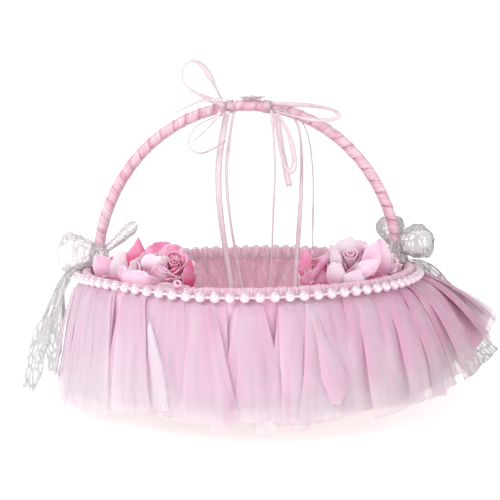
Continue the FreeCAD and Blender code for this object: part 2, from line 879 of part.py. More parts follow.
def make_lace_bows():
    """Lace bow round each foot of the handle."""
    parts = {}
    for name, position in (("left", lace_level), ("right", arch_length - lace_level)):
        parts["lace_" + name + "_knot"] = [collar(position, lace_turn, lace_wall)]
    parts["lace_left_loop_outer"] = [
        lace_loop(
            -1,
            [(5.7, -3, 6.7), (13.1, -5, 17.2), (22.1, -6, 19.2), (25.1, -6, 11.2), (18.1, -5, 3.7),
             (5.8, -4, 2.8)],
            [7, 20, 28, 28, 20, 7],
        )
    ]
    parts["lace_left_loop_inner"] = [
        lace_loop(
            -1,
            [(-5.7, 1, 7.7), (-13.9, 1, 20.2), (-20.9, 1, 27.7), (-24.4, 1, 21.7), (-17.9, 1, 11.2),
             (-5.8, 1, 3.7)],
            [6, 12, 17, 17, 12, 6],
        )
    ]
    parts["lace_left_tail_front"] = [
        lace_tail(
            -1,
            [(6.3, -7, 0.0), (18.6, -9, 0.012), (27.1, -13, 0.23), (37.1, -18, 0.593), (45.1, -20, 1.0)],
            [7, 11, 17, 20, 18], [0, 5, 40, 62, 62],
        )
    ]
    parts["lace_left_tail_back"] = [
        lace_tail(
            -1,
            [(6.5, 5, 0.0), (18.6, 7, 0.012), (28.1, 12, 0.255), (34.1, 17, 0.569), (39.1, 20, 0.954)],
            [7, 10, 15, 17, 16], [0, 5, 35, 50, 50],
        )
    ]
    parts["lace_right_loop_outer"] = [
        lace_loop(
            1,
            [(5.7, -3, 7.7), (10.1, -5, 20.2), (17.1, -6, 25.2), (21.6, -6, 17.2), (18.1, -5, 6.2),
             (5.8, -4, 2.8)],
            [7, 20, 28, 28, 20, 7],
        )
    ]
    parts["lace_right_loop_inner"] = [
        lace_loop(
            1,
            [(-1.4, 8.6, 5.7), (-8.9, 12.6, 16.2), (-8.9, 13.4, 26.2), (-1.9, 13.4, 30.2),
             (4.6, 13, 22.2), (2.5, 8.6, 7.2)],
            [7, 12, 15, 15, 12, 7],
        )
    ]
    parts["lace_right_tail"] = [
        lace_tail(
            1,
            [(6.3, 5, 0.0), (18.6, 8, 0.012), (32.1, 14, 0.207), (47.1, 21, 0.508), (59.1, 27, 0.786),
             (63.1, 29, 0.984)],
            [7, 10, 15, 19, 20, 17], [0, 5, 35, 50, 50, 50],
        )
    ]
    return parts


def knot_centre(x):
    """Middle of the tied knot in front of the wrapped handle, at a given X on its top."""
    depth = wrap_high + 2 * ribbon_play + ribbon_thick + knot_depth / 2
    return V(x, -depth, arch_at(arch_distance(x))[0].z)


def ribbon_loop(x, points, widths, lean):
    """Loop of a ribbon bow: points to the right, to the back and up from its knot."""
    centre = knot_centre(x)
    line = [centre + V(*p) for p in points]
    return bow_loop(line, widths, [lean, lean], ribbon_thick)


def make_ribbon_bows():
    """Ribbon bow at each side of the handle's top, and its hanging ends."""
    parts = {}
    for name, x in (("left", knot_left), ("right", knot_right)):
        lump = knot(knot_centre(x), knot_length, knot_height, knot_depth)
        parts["ribbon_" + name + "_knot"] = [collar(arch_distance(x), ribbon_turn, ribbon_thick), lump]
    full = [ribbon_width, ribbon_width]
    parts["ribbon_left_loop_upper"] = [
        ribbon_loop(
            knot_left,
            [(-4.1, 0, 1.9), (-9.0, -2, 12.1), (-17.0, -4, 27.1), (-25.8, -5, 29.6), (-31.2, -5, 21.5),
             (-28.3, -4, 12.3), (-18.0, -2, 6.5), (-4.3, -1, 0.3)],
            full, 35,
        )
    ]
    parts["ribbon_left_end"] = [
        ribbon_loop(
            knot_left,
            [(-4.3, -3.8, 3.5), (-14.5, -5.4, 4.5), (-23.5, -5.6, 1.7), (-34.0, -5.6, -3.9)],
            [ribbon_width * 0.8, ribbon_width], 20,
        )
    ]
    parts["ribbon_left_loop_lower"] = [
        ribbon_loop(
            knot_left,
            [(-2.5, -3.6, -4.7), (-19.0, -4, -9.9), (-28.1, -5, -20.9), (-25.1, -5, -29.3),
             (-15.8, -5, -31.3), (-3.1, -3.8, -22.9)],
            full, 40,
        )
    ]
    parts["ribbon_left_curl"] = [
        ribbon_loop(
            knot_left,
            [(-6.0, -7.4, -3.7), (-12.0, -7.4, -13.9), (-23.0, -7.4, -21.9)],
            [ribbon_width, ribbon_width * 0.75], 25,
        )
    ]
    parts["ribbon_right_loop_side"] = [
        ribbon_loop(
            knot_right,
            [(4.1, 0.2, 1.6), (18.5, -2, 0.6), (33.5, -3, -0.8), (45.5, -4, -4.0), (47.7, -4, -8.2),
             (38.5, -4, -10.2), (20.5, -3.8, -8.2), (4.5, -2.4, -3.2)],
            full, 40,
        )
    ]
    parts["ribbon_right_loop_down"] = [
        ribbon_loop(
            knot_right,
            [(6.1, -6.3, -3.2), (14.5, -6.6, -18.6), (18.2, -7, -35.6), (15.9, -7, -43.4),
             (12.1, -7, -42.0), (8.1, -6.6, -26.6), (3.7, -6.3, -4.0)],
            full, 30,
        )
    ]
    for name, (points, depth, facing) in ribbon_tails.items():
        across, through = (ribbon_width, ribbon_thick) if facing else (ribbon_thick, ribbon_width)
        parts[name] = [ribbon_tail(name, points, depth, across, through)]
    return parts


def make_top_flower():
    centre = V(2.8, 0, handle_top + wrap_high + ribbon_play + 0.35)
    bead = []
    for height, size in ((0.0, 0.7), (0.8, 1.5), (1.8, 1.5), (2.6, 0.7)):
        bead.append([centre + polar(size, 60 * j, height - 0.3) for j in range(6)])
    petals = []
    for i in range(5):
        angle = 72 * i + 90
        grid = []
        for radius, half, height in ((2.0, 1.0, 0.0), (4.6, 2.6, 0.5), (6.9, 1.5, 1.6)):
            middle = centre + polar(radius, angle, height)
            side = polar(half, angle + 90)
            grid.append([middle - side, middle + side])
        petals.append(sheet_solid(grid, 0.6))
    return petals, [polyhedron(stacked_rings(bead) + [bead[0], bead[-1]])]


# ================================================================ assembly
def build_parts():
    parts = {
        "base_board": [make_base_board()],
        "foot_rope": [make_foot_rope()],
        "wall_stakes": make_stakes(),
        "wall_weavers": make_weavers(),
        "rim_hoop": [make_hoop()],
        "rim_band": [make_band()],
        "pearl_string": [make_pearl_string()],
        "lining_wall": [make_lining()],
        "lining_floor": [make_lining_floor()],
        "handle_core": [make_handle_core()],
        "handle_wrap": [make_handle_wrap()],
    }
    for side, strips in make_tulle().items():
        parts["tulle_" + side] = strips
    for name, place in roses.items():
        parts[name] = make_rose(*place)
    parts.update(make_lace_bows())
    parts.update(make_ribbon_bows())
    petals, bead = make_top_flower()
    parts["top_flower_petals"] = petals
    parts["top_flower_bead"] = bead
    return parts


os.makedirs("parts", exist_ok=True)
for old in os.listdir("parts"):
    if old.endswith(".step"):
        os.remove(os.path.join("parts", old))
for node, solids in build_parts().items():
    shape = solids[0] if len(solids) == 1 else Part.makeCompound(solids)
    shape.exportStep(os.path.join("parts", node + ".step"))
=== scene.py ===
"""Flower girl basket: satin-wound handle, tulle skirt, pearls, foam roses, lace and ribbon bows."""
import math
import random

import bmesh
import bpy
from mathutils import Matrix, Vector, noise


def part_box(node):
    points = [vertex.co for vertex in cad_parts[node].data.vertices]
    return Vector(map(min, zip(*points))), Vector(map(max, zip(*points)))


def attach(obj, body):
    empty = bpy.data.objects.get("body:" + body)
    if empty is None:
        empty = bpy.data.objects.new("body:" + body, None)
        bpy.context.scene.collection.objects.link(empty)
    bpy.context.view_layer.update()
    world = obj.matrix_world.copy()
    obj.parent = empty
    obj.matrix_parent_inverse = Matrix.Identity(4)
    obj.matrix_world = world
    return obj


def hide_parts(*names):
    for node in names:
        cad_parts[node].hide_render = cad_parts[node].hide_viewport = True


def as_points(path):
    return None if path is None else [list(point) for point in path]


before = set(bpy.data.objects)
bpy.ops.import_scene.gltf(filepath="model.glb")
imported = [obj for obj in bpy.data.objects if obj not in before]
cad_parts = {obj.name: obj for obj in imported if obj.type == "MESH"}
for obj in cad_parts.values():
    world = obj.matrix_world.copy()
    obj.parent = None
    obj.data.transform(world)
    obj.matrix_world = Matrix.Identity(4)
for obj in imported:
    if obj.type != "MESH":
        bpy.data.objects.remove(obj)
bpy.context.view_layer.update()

bl_info = {
    "name": "Flower Girl Basket",
    "version": (1, 0, 0),
    "blender": (4, 5, 0),
    "location": "3D View > Sidebar > Basket",
    "description": "Dresses the packed basket with cloth, ribbon, lace, pearls and foam roses",
    "category": "Add Mesh",
}

mm = 0.001
backwards = Vector((0, 1, 0))
handle_reach = 99.9  # from the middle of the basket to the centre of a handle leg, in millimetres
handle_top = 190.5  # height of the centre line at the top of the handle, in millimetres
edge_width = 3.0  # how far in from a cut edge its colour can reach, in millimetres


def paint(red, green, blue):
    """Scene colour from the usual 0 to 255 values."""
    straight = []
    for value in (red, green, blue):
        value /= 255
        straight.append(value / 12.92 if value <= 0.04045 else ((value + 0.055) / 1.055) ** 2.4)
    return tuple(straight)


def colour_property(name, description, default):
    return bpy.props.FloatVectorProperty(
        name=name, description=description, default=default, subtype="COLOR", size=3, min=0, max=1
    )


def length_property(name, description, default):
    return bpy.props.FloatProperty(
        name=name, description=description, default=default, unit="LENGTH", min=0, soft_max=0.5
    )


class BasketSizes(bpy.types.PropertyGroup):
    """Sizes of the trimming; the frame gives what the model fixes."""

    band_radius: length_property(
        "Band radius", "Outside of the felt band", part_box("rim_band")[1].x
    )
    band_top: length_property("Band top", "Top of the felt band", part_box("rim_band")[1].z)
    pearl_radius: length_property("Pearl radius", "Radius of one pearl", 3.0 * mm)
    pearl_count: bpy.props.IntProperty(
        name="Pearls", description="Number of pearls round the band", default=87, min=3, max=400
    )
    pearl_rise: length_property(
        "Pearl rise", "How much higher the string is sewn at the back", 2.8 * mm
    )
    ribbon_width: length_property("Ribbon width", "Width of the narrow satin ribbon", 4.0 * mm)
    wrap_pitch: length_property("Wrap pitch", "Advance of one turn of the handle wrap", 9.6 * mm)
    wrap_low: length_property("Wrap low", "Radius of the wrap where a turn starts", 3.2 * mm)
    wrap_high: length_property("Wrap high", "Radius of the wrap at a free edge", 3.85 * mm)
    pleats: bpy.props.IntProperty(
        name="Pleats", description="Gathers round the lining", default=44, min=4, max=200
    )


class BasketColours(bpy.types.PropertyGroup):
    """Colours of the finishes."""

    tulle_pale: colour_property("Tulle pale", "Crown of a tulle strip", paint(234, 212, 226))
    tulle_deep: colour_property("Tulle deep", "Gathers of the tulle", paint(230, 172, 204))
    # painted shade: the darker tulle of the right side, away from the light
    tulle_right_shade: colour_property("Tulle right", "Tulle on the right side", paint(226, 154, 186))
    felt: colour_property("Felt", "Felt of the rim band", paint(238, 184, 206))
    satin: colour_property("Handle satin", "Satin of the handle", paint(236, 214, 222))
    # painted shade: the darker colour of the folds of the handle satin
    satin_fold_shade: colour_property("Satin fold", "Folds of the handle satin", paint(228, 148, 176))
    lining: colour_property("Lining", "Gathered satin lining", paint(226, 166, 190))
    ribbon: colour_property("Ribbon", "Narrow ribbon", paint(246, 232, 237))
    ribbon_edge: colour_property("Ribbon edge", "Edges of the ribbon", paint(212, 180, 192))
    petal_pale: colour_property("Petal rim", "Pale rim of a rose petal", paint(250, 226, 235))
    petal_pink: colour_property("Petal", "Middle pink of a rose petal", paint(254, 187, 216))
    # hot pink in the folds: partly the foam's own colour, partly painted shade
    petal_hot: colour_property("Petal base", "Hot pink in the folds", paint(222, 76, 134))
    lace: colour_property("Lace", "White lace", paint(240, 238, 241))
    pearl: colour_property("Pearl", "Body of a pearl", paint(240, 224, 232))
    chip: colour_property("Chip wood", "Stakes of the wall", paint(205, 178, 150))
    weave: colour_property("Weave", "Woven rows of the wall", paint(196, 186, 160))


# ------------------------------------------------------------------ materials
class Finish:
    """One material while its nodes are laid out."""

    def __init__(self, name, **sockets):
        self.material = bpy.data.materials.new(name)
        self.material.use_nodes = True
        self.tree = self.material.node_tree
        self.shader = self.tree.nodes["Principled BSDF"]
        for key, value in sockets.items():
            self.put(key.replace("_", " "), value)

    def put(self, key, value):
        """Sets or links one socket of the shader."""
        socket = self.shader.inputs[key]
        if isinstance(value, bpy.types.NodeSocket):
            self.tree.links.new(value, socket)
        else:
            socket.default_value = (*value, 1.0) if key.endswith(("Color", "Tint")) else value

    def node(self, kind, inputs, output=0, **settings):
        """Adds a shader node and gives back one of its outputs."""
        made = self.tree.nodes.new("ShaderNode" + kind)
        for key, value in settings.items():
            setattr(made, key, value)
        for key, value in inputs.items():
            if isinstance(value, bpy.types.NodeSocket):
                self.tree.links.new(value, made.inputs[key])
            else:
                made.inputs[key].default_value = value
        return made.outputs[output]

    def place(self):
        """Metres, in the frame of the basket."""
        return self.node("TexCoord", {}, "Object")

    def cloth(self):
        """Millimetres across and along the cloth."""
        return self.node("TexCoord", {}, "UV")

    def grade(self, name):
        """A number stored on the vertices."""
        return self.node("Attribute", {}, "Fac", attribute_name=name)

    def math(self, operation, first, second=0.0):
        return self.node("Math", {0: first, 1: second}, operation=operation)

    def parts(self, vector):
        """X, Y and Z of a vector."""
        return self.node("SeparateXYZ", {0: vector}).node.outputs

    def stretch(self, vector, x, y, z=1.0):
        """Scales a pattern, and moves it off the whole numbers, where noise shows stripes."""
        away = (0.37, 0.61, 0.53)
        return self.node("Mapping", {"Vector": vector, "Location": away, "Scale": (x, y, z)})

    def cloud(self, vector, scale, detail=2.0, rough=0.5):
        """Soft random pattern round 0.5."""
        inputs = {"Vector": vector, "Scale": scale, "Detail": detail, "Roughness": rough}
        return self.node("TexNoise", inputs)

    def span(self, value, low, high, start=0.0, end=1.0):
        """The value spread from low..high to start..end, and held there outside."""
        inputs = {"Value": value, "From Min": low, "From Max": high, "To Min": start, "To Max": end}
        return self.node("MapRange", inputs)

    def blend(self, share, first, second):
        """First colour where the share is 0, second colour where it is 1."""
        inputs = {0: share}
        for key, value in ((6, first), (7, second)):
            inputs[key] = value if isinstance(value, bpy.types.NodeSocket) else (*value, 1.0)
        return self.node("Mix", inputs, 2, data_type="RGBA")

    def bump(self, height, distance, strength, under=None):
        """Raises the surface, on top of another bump where one is given."""
        inputs = {"Height": height, "Distance": distance, "Strength": strength}
        if under is not None:
            inputs["Normal"] = under
        raised = self.node("Bump", inputs)
        self.put("Normal", raised)
        return raised

    def ribs(self, value, pitch):
        """Fine round ribs, one each pitch."""
        return self.math("SINE", self.math("MULTIPLY", value, math.tau / pitch))


def darker(colour, share):
    return tuple(value * share for value in colour)


def whiter(colour, share):
    """The colour with its distance from white cut to the share."""
    return tuple(1 - share * (1 - value) for value in colour)


def wood_finish(name, colour, stain, upright):
    """Thin chip wood with long grain, up the stakes or round the rows."""
    f = Finish(name, Roughness=0.62, Specular_IOR_Level=0.35)
    x, y, z = f.parts(f.place())[0:3]
    turn = f.math("ARCTAN2", y, x)
    wall_radius = 0.07
    round_way = f.math("MULTIPLY", turn, wall_radius)
    along, across = (z, round_way) if upright else (round_way, z)
    grain_place = f.node("CombineXYZ", {0: across, 1: f.math("MULTIPLY", along, 0.05)})
    grain = f.cloud(grain_place, 900, 3)
    pieces = f.cloud(f.node("CombineXYZ", {0: turn}), 4.2, 1)
    base = f.blend(f.span(pieces, 0.45, 0.62), colour, stain)
    base = f.blend(f.span(grain, 0.35, 0.75), base, darker(stain, 0.75))
    blotch = f.cloud(f.place(), 60, 2)
    base = f.blend(f.span(blotch, 0.5, 0.8, 0.0, 0.45), base, darker(colour, 0.7))
    f.put("Base Color", base)
    f.bump(grain, 0.15 * mm, 0.7)
    return f.material


def board_finish(name, colour):
    """Pressed board with short fibres."""
    f = Finish(name, Roughness=0.8)
    fibre = f.cloud(f.stretch(f.place(), 1.0, 3.0, 1.0), 420, 4)
    flecks = f.cloud(f.place(), 1500, 1)
    base = f.blend(f.span(fibre, 0.35, 0.7), colour, darker(colour, 0.72))
    f.put("Base Color", f.blend(f.span(flecks, 0.62, 0.7), base, darker(colour, 0.45)))
    f.bump(fibre, 0.2 * mm, 0.6)
    return f.material


def cord_finish(name, colour):
    """Twisted paper cord; the cloth map runs round and along the cord."""
    f = Finish(name, Roughness=0.75)
    u, v = f.parts(f.cloth())[0:2]
    slant = f.math("ADD", u, f.math("MULTIPLY", v, -0.6))
    yarn = f.ribs(slant, 0.45)
    fuzz = f.cloud(f.place(), 900, 3)
    tone = f.math("MULTIPLY", f.math("ADD", yarn, fuzz), 0.5)
    base = f.blend(f.span(tone, 0.1, 0.8), darker(colour, 0.55), colour)
    f.put("Base Color", base)
    f.bump(tone, 0.15 * mm, 0.8)
    return f.material


def felt_finish(name, colour):
    """Gathered felt: short matted fibres, with a painted highlight on the ridges where it is puckered."""
    f = Finish(name, Roughness=0.95, Sheen_Weight=0.4, Sheen_Roughness=0.5)
    f.put("Sheen Tint", (1.0, 0.9, 0.95))
    x, y, z = f.parts(f.place())[0:3]
    turn = f.math("MULTIPLY", f.math("ARCTAN2", y, x), 110.0)
    ridge_place = f.node("CombineXYZ", {0: turn, 1: f.math("MULTIPLY", z, 140.0)})
    ridges = f.cloud(ridge_place, 0.75, 2)
    fibres = f.cloud(f.stretch(f.place(), 1.0, 1.0, 1.6), 1500, 3, 0.7)
    mats = f.cloud(f.place(), 260, 3, 0.6)
    base = f.blend(f.span(mats, 0.3, 0.7), darker(colour, 0.86), colour)
    pale = whiter(colour, 0.35)
    # painted highlight: the puckered ridges are turned paler
    base = f.blend(f.span(ridges, 0.44, 0.66, 0.0, 0.9), base, pale)
    f.put("Base Color", f.blend(f.span(fibres, 0.5, 0.75, 0.0, 0.4), base, pale))
    height = f.math("ADD", fibres, f.math("MULTIPLY", ridges, 3.0))
    f.bump(height, 0.4 * mm, 0.8)
    return f.material


def pearl_finish(name, colour):
    """Moulded pearl: greyish pink body, faint clouds and a small clear light."""
    f = Finish(name, Roughness=0.24, Coat_Weight=0.7, Coat_Roughness=0.04, Metallic=0.22)
    cloud = f.cloud(f.place(), 240, 2)
    pink = (colour[0] * 0.96, colour[1] * 0.86, colour[2] * 0.92)
    f.put("Base Color", f.blend(f.span(cloud, 0.35, 0.65), colour, pink))
    f.bump(f.cloud(f.place(), 900, 1), 0.02 * mm, 0.3)
    return f.material


def satin_finish(name, colour, deep, rib, roughness, streak, width=0.0, crease=0.0):
    """Satin: fine ribs across, long soft streaks along and a silky gloss; the long streaks are painted
    shade in soft folds, and paler wrinkles a painted sheen.

    Width is that of a ribbon whose colour deepens towards its edges, and crease that of a ribbon whose
    turns come out from under one another, both in millimetres; where a turn comes out, and at its free
    edge, painted shade is laid.
    """
    f = Finish(name, Roughness=roughness, Sheen_Weight=0.25, Sheen_Roughness=0.35)
    f.put("Anisotropic", 0.45)
    f.put("Specular IOR Level", 0.55)
    cloth = f.cloth()
    u, v = f.parts(cloth)[0:2]
    long_streaks = f.cloud(f.stretch(cloth, 0.9, 0.07), 1.0, 3)
    wrinkles = f.cloud(f.stretch(cloth, 0.25, 0.12), 1.0, 2)
    # painted shade: long soft streaks turn the satin towards its darker fold colour
    base = f.blend(f.span(long_streaks, 0.3, 0.7, 0.0, streak), colour, deep)
    # painted sheen: paler wrinkles
    base = f.blend(f.span(wrinkles, 0.5, 0.75, 0.0, 0.5), base, whiter(colour, 0.6))
    if width:
        side = f.math("ABSOLUTE", f.math("SUBTRACT", f.math("DIVIDE", u, width), 0.5))
        base = f.blend(f.span(side, 0.3, 0.5, 0.0, 0.85), base, deep)
    if crease:
        # painted shade where a turn comes out from under the one before, and at its free edge
        fold = f.math("ADD", f.math("DIVIDE", u, crease), f.span(wrinkles, 0.3, 0.7, -0.15, 0.15))
        near, far = f.span(fold, 0.1, 0.5, 0.95, 0.0), f.span(fold, 0.9, 1.0, 0.0, 0.5)
        base = f.blend(f.math("MAXIMUM", near, far), base, darker(deep, 0.82))
    f.put("Base Color", base)
    ribs = f.ribs(v, rib)
    weave = f.bump(f.math("ADD", ribs, f.ribs(u, rib * 0.6)), 0.03 * mm, 0.35)
    f.bump(f.math("ADD", wrinkles, long_streaks), 0.5 * mm, 0.5, weave)
    return f.material


def tulle_finish(name, pale, deep, far):
    """Sheer nylon net: thick and pink in the gathers, thin and pale at the cut edges."""
    f = Finish(name, Roughness=0.7, Sheen_Weight=0.12, Sheen_Roughness=0.4)
    cloth = f.cloth()
    threads = f.cloud(f.stretch(cloth, 0.42, 0.018), 1.0, 3, 0.7)
    folds = f.cloud(f.stretch(cloth, 0.13, 0.016), 1.0, 1)
    dense = f.grade("dense")
    line = f.span(f.grade("rim"), 0.15, 0.75, 1.0, 0.0)
    grain = f.math("ADD", f.span(threads, 0.3, 0.7, -0.03, 0.03), f.span(folds, 0.3, 0.7, -0.12, 0.12))
    right = f.span(f.parts(f.place())[0], 0.02, 0.13, 0.0, 0.9)
    body = f.math("ADD", dense, f.math("MULTIPLY", right, 0.1))
    cover = f.math("ADD", body, f.math("ADD", grain, f.math("MULTIPLY", line, 0.1)))
    # the cover rises fast where the net is thin, so that thin net doesn't turn to grain
    thin_part, thick_part = f.span(cover, 0.0, 0.2, 0.0, 0.42), f.span(cover, 0.2, 0.98, 0.0, 0.56)
    f.put("Alpha", f.math("ADD", thin_part, thick_part))
    tone = f.math("ADD", f.span(folds, 0.3, 0.7, -0.2, 0.2), f.grade("pink"))
    tone = f.math("ADD", tone, f.span(threads, 0.3, 0.7, -0.025, 0.025))
    base = f.blend(f.span(tone, 0.0, 1.0), pale, deep)
    # painted shade: towards the right side the tulle turns to its darker right colour
    base = f.blend(f.math("MULTIPLY", right, f.span(tone, 0.0, 0.9, 0.12, 0.95)), base, far)
    # thin net turns grey, and darker towards the right; that darkening is painted shade
    thin = f.blend(right, paint(232, 221, 228), paint(198, 182, 190))
    base = f.blend(f.span(dense, 0.22, 0.5, 0.88, 0.0), base, thin)
    veil = f.cloud(f.stretch(f.place(), 95.0, 95.0, 9.0), 1.0, 2)
    base = f.blend(f.span(veil, 0.5, 0.72, 0.0, 0.55), base, paint(232, 216, 226))
    base = f.blend(f.span(veil, 0.28, 0.44, 0.4, 0.0), base, darker(deep, 0.95))
    base = f.blend(f.span(tone, -0.7, -0.25, 1.0, 0.0), base, (0.88, 0.83, 0.88))
    f.put("Base Color", f.blend(f.math("MULTIPLY", line, 0.22), base, darker(deep, 0.75)))
    f.bump(folds, 0.35 * mm, 0.35)
    return f.material


def foam_finish(name, pale, pink, hot):
    """Soft craft foam: pale at the rims, hot pink down in the folds, partly the foam's own colour and
    partly painted shade.
    """
    f = Finish(name, Roughness=0.72, Sheen_Weight=0.25, Sheen_Roughness=0.5)
    f.put("Subsurface Weight", 0.6)
    f.put("Subsurface Radius", (0.004, 0.0015, 0.002))
    f.put("Subsurface Scale", 0.6)
    clouds = f.cloud(f.place(), 130, 3)
    tone = f.math("ADD", f.grade("tint"), f.span(clouds, 0.3, 0.7, -0.12, 0.12))
    base = f.blend(f.span(tone, 0.0, 0.5), pale, pink)
    # hot pink towards the petal bases: partly the foam's colour, partly painted shade in the folds
    base = f.blend(f.span(tone, 0.5, 1.0), base, hot)
    edge = f.span(f.grade("rim"), 0.2, 0.9, 0.34, 0.0)
    f.put("Base Color", f.blend(edge, base, whiter(pale, 0.6)))
    cells = f.cloud(f.place(), 2600, 2)
    veins = f.cloud(f.stretch(f.cloth(), 0.9, 0.08), 1.0, 2)
    fine = f.bump(cells, 0.08 * mm, 0.4)
    f.bump(veins, 0.4 * mm, 0.5, fine)
    return f.material


def lace_finish(name, colour, clear, cell=3.6, long=1.0, shade=0.66, fade=0.0):
    """Crochet lace: threads round open cells, with heavier wavy cords along it.

    Clear is the cover of the open cells; cell their width in millimetres, and long their length over it;
    shade the tone of the painted shade at the far right, away from the light, and fade how much an end
    darkens.
    """
    f = Finish(name, Roughness=0.6, Sheen_Weight=0.2, Sheen_Roughness=0.4)
    cloth = f.cloth()
    u, v = f.parts(cloth)[0:2]
    bend = f.cloud(f.stretch(cloth, 0.07, 0.05), 1.0, 1)
    net = f.node(
        "TexVoronoi",
        {"Vector": f.stretch(cloth, 1 / cell, 1 / (cell * long)), "Scale": 1.0, "Randomness": 0.7},
        "Distance", voronoi_dimensions="2D", feature="DISTANCE_TO_EDGE",
    )
    thread = f.span(net, 0.07, 0.17, 1.0, 0.0)
    wave = f.math("ADD", f.math("MULTIPLY", u, 0.62), f.math("MULTIPLY", bend, 16.0))
    cords = f.span(f.math("SINE", wave), 0.6, 0.9)
    solid = f.math("MAXIMUM", thread, cords)
    f.put("Alpha", f.span(solid, 0.0, 1.0, clear, 0.92))
    tone = f.cloud(f.stretch(cloth, 0.1, 0.06), 1.0, 2)
    right = f.span(f.parts(f.place())[0], 0.0, 0.11)
    base = f.blend(f.span(tone, 0.4, 0.7, 0.0, 0.5), colour, darker(colour, 0.82))
    base = f.blend(f.span(solid, 0.0, 0.8, 0.4, 0.0), base, darker(colour, 0.78))
    # painted shade: the lace darkens towards the right side
    base = f.blend(right, base, darker(colour, shade))
    f.put("Base Color", f.blend(f.span(v, 30.0, 90.0, 0.0, fade), base, darker(colour, 0.5)))
    f.bump(solid, 0.4 * mm, 0.9)
    return f.material


def organza_finish(name, colour):
    """Stiff sheer petals with a pale bound edge."""
    f = Finish(name, Roughness=0.4, Sheen_Weight=0.5, Sheen_Roughness=0.3)
    threads = f.cloud(f.stretch(f.cloth(), 3.0, 0.3), 1.0, 2)
    f.put("Base Color", f.blend(f.span(threads, 0.3, 0.7), colour, darker(colour, 0.82)))
    f.put("Alpha", f.span(f.grade("rim"), 0.0, 1.0, 0.62, 0.95))
    f.bump(threads, 0.1 * mm, 0.5)
    return f.material


# ------------------------------------------------------------------ meshes
def add_sheet(bm, across, along, place, size, grades=None):
    """Adds a grid of faces; place(u, v) puts each vertex, and size is the cloth in millimetres."""
    cloth = bm.loops.layers.uv.verify()
    grades = grades or {}
    for name in grades:
        if name not in bm.verts.layers.float:
            bm.verts.layers.float.new(name)
    # read only now, because a new layer moves the ones before it
    layers = {name: bm.verts.layers.float[name] for name in grades}
    for vert in bmesh.ops.create_grid(bm, x_segments=across, y_segments=along, size=0.5)["verts"]:
        u, v = vert.co.x + 0.5, vert.co.y + 0.5
        for loop in vert.link_loops:
            loop[cloth].uv = (u * size[0], v * size[1])
        for name, layer in layers.items():
            vert[layer] = grades[name](u, v)
        vert.co = place(u, v)


def join_seams(bm, outward=True):
    """Merges edges that meet, and on a closed shape turns the faces outwards."""
    bmesh.ops.remove_doubles(bm, verts=bm.verts, dist=0.001 * mm)
    if outward:
        bmesh.ops.recalc_face_normals(bm, faces=bm.faces)


def new_piece(name, bm, material, nodes):
    """Makes the mesh an object that rides on the basket and stands for its CAD nodes."""
    mesh = bpy.data.meshes.new(name)
    bm.to_mesh(mesh)
    bm.free()
    mesh.shade_smooth()
    mesh.materials.append(material)
    piece = bpy.data.objects.new(name, mesh)
    bpy.context.scene.collection.objects.link(piece)
    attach(piece, "root")
    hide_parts(*nodes)
    return piece


def thicken(piece, thickness, offset=0.0, rounds=0):
    """Gives the cloth its thickness, to both sides for an offset of 0 and inwards for -1."""
    solid = piece.modifiers.new("Thickness", "SOLIDIFY")
    solid.thickness = thickness
    solid.offset = offset
    solid.use_even_offset = False
    if rounds:
        smooth = piece.modifiers.new("Rounding", "SUBSURF")
        smooth.levels = smooth.render_levels = rounds


def waver(x, y, z):
    """Smooth random number from -1 to 1, the same at every call with these values."""
    return noise.noise(Vector((x, y, z)))


def polar(radius, angle, height=0.0):
    return Vector((radius * math.cos(angle), radius * math.sin(angle), height))


def turned(heading, lean, roll=0.0):
    """Rotation that rolls, then leans, then heads a petal; degrees."""
    turn = Matrix.Identity(3)
    for angle, axis in ((heading, "Z"), (lean, "X"), (roll, "Y")):
        turn = turn @ Matrix.Rotation(math.radians(angle), 3, axis)
    return turn


def ease(value):
    """Soft step from 0 to 1."""
    value = max(0.0, min(1.0, value))
    return value * value * (3 - 2 * value)


def spread(values, share):
    """Value at a share of the way through evenly spaced values."""
    place = max(0.0, min(1.0, share)) * (len(values) - 1)
    i = min(int(place), len(values) - 2)
    return values[i] + (values[i + 1] - values[i]) * (place - i)


def read_rows(rows, key):
    """Values at a key, from rows that start with rising keys; the last row holds past its key."""
    for (first, *low), (last, *high) in zip(rows, rows[1:]):
        if first <= key <= last:
            share = (key - first) / (last - first)
            return [a + (b - a) * share for a, b in zip(low, high)]
    return list(rows[-1][1:])


def smooth_line(name, points):
    """Points read along the NURBS spline that the given points control."""
    curve = bpy.data.curves.new(name, "CURVE")
    curve.dimensions = "3D"
    curve.resolution_u = 12
    spline = curve.splines.new("NURBS")
    spline.points.add(len(points) - 1)
    for point, place in zip(spline.points, points):
        point.co = (*place, 1.0)
    spline.order_u = 3
    spline.use_endpoint_u = True
    carrier = bpy.data.objects.new(name, curve)
    bpy.context.scene.collection.objects.link(carrier)
    bpy.context.view_layer.update()
    mesh = bpy.data.meshes.new_from_object(carrier)
    line = [vertex.co.copy() for vertex in mesh.vertices]
    bpy.data.meshes.remove(mesh)
    bpy.data.objects.remove(carrier)
    bpy.data.curves.remove(curve)
    return line


class Line:
    """A line of points that can be asked for the place and the heading at any share."""

    def __init__(self, points):
        self.points = points
        self.marks = [0.0]
        for first, second in zip(points, points[1:]):
            self.marks.append(self.marks[-1] + (second - first).length)
        self.length = self.marks[-1]

    def at(self, share):
        """The place at a share of the length."""
        distance = max(0.0, min(1.0, share)) * self.length
        low, high = 0, len(self.marks) - 2
        while low < high:
            middle = (low + high + 1) // 2
            if self.marks[middle] <= distance:
                low = middle
            else:
                high = middle - 1
        step = self.marks[low + 1] - self.marks[low]
        part = (distance - self.marks[low]) / step if step else 0.0
        return self.points[low].lerp(self.points[low + 1], part)

    def heading(self, share):
        """The direction of the line, taken over 3 mm of it."""
        step = 1.5 * mm / self.length
        return (self.at(share + step) - self.at(share - step)).normalized()


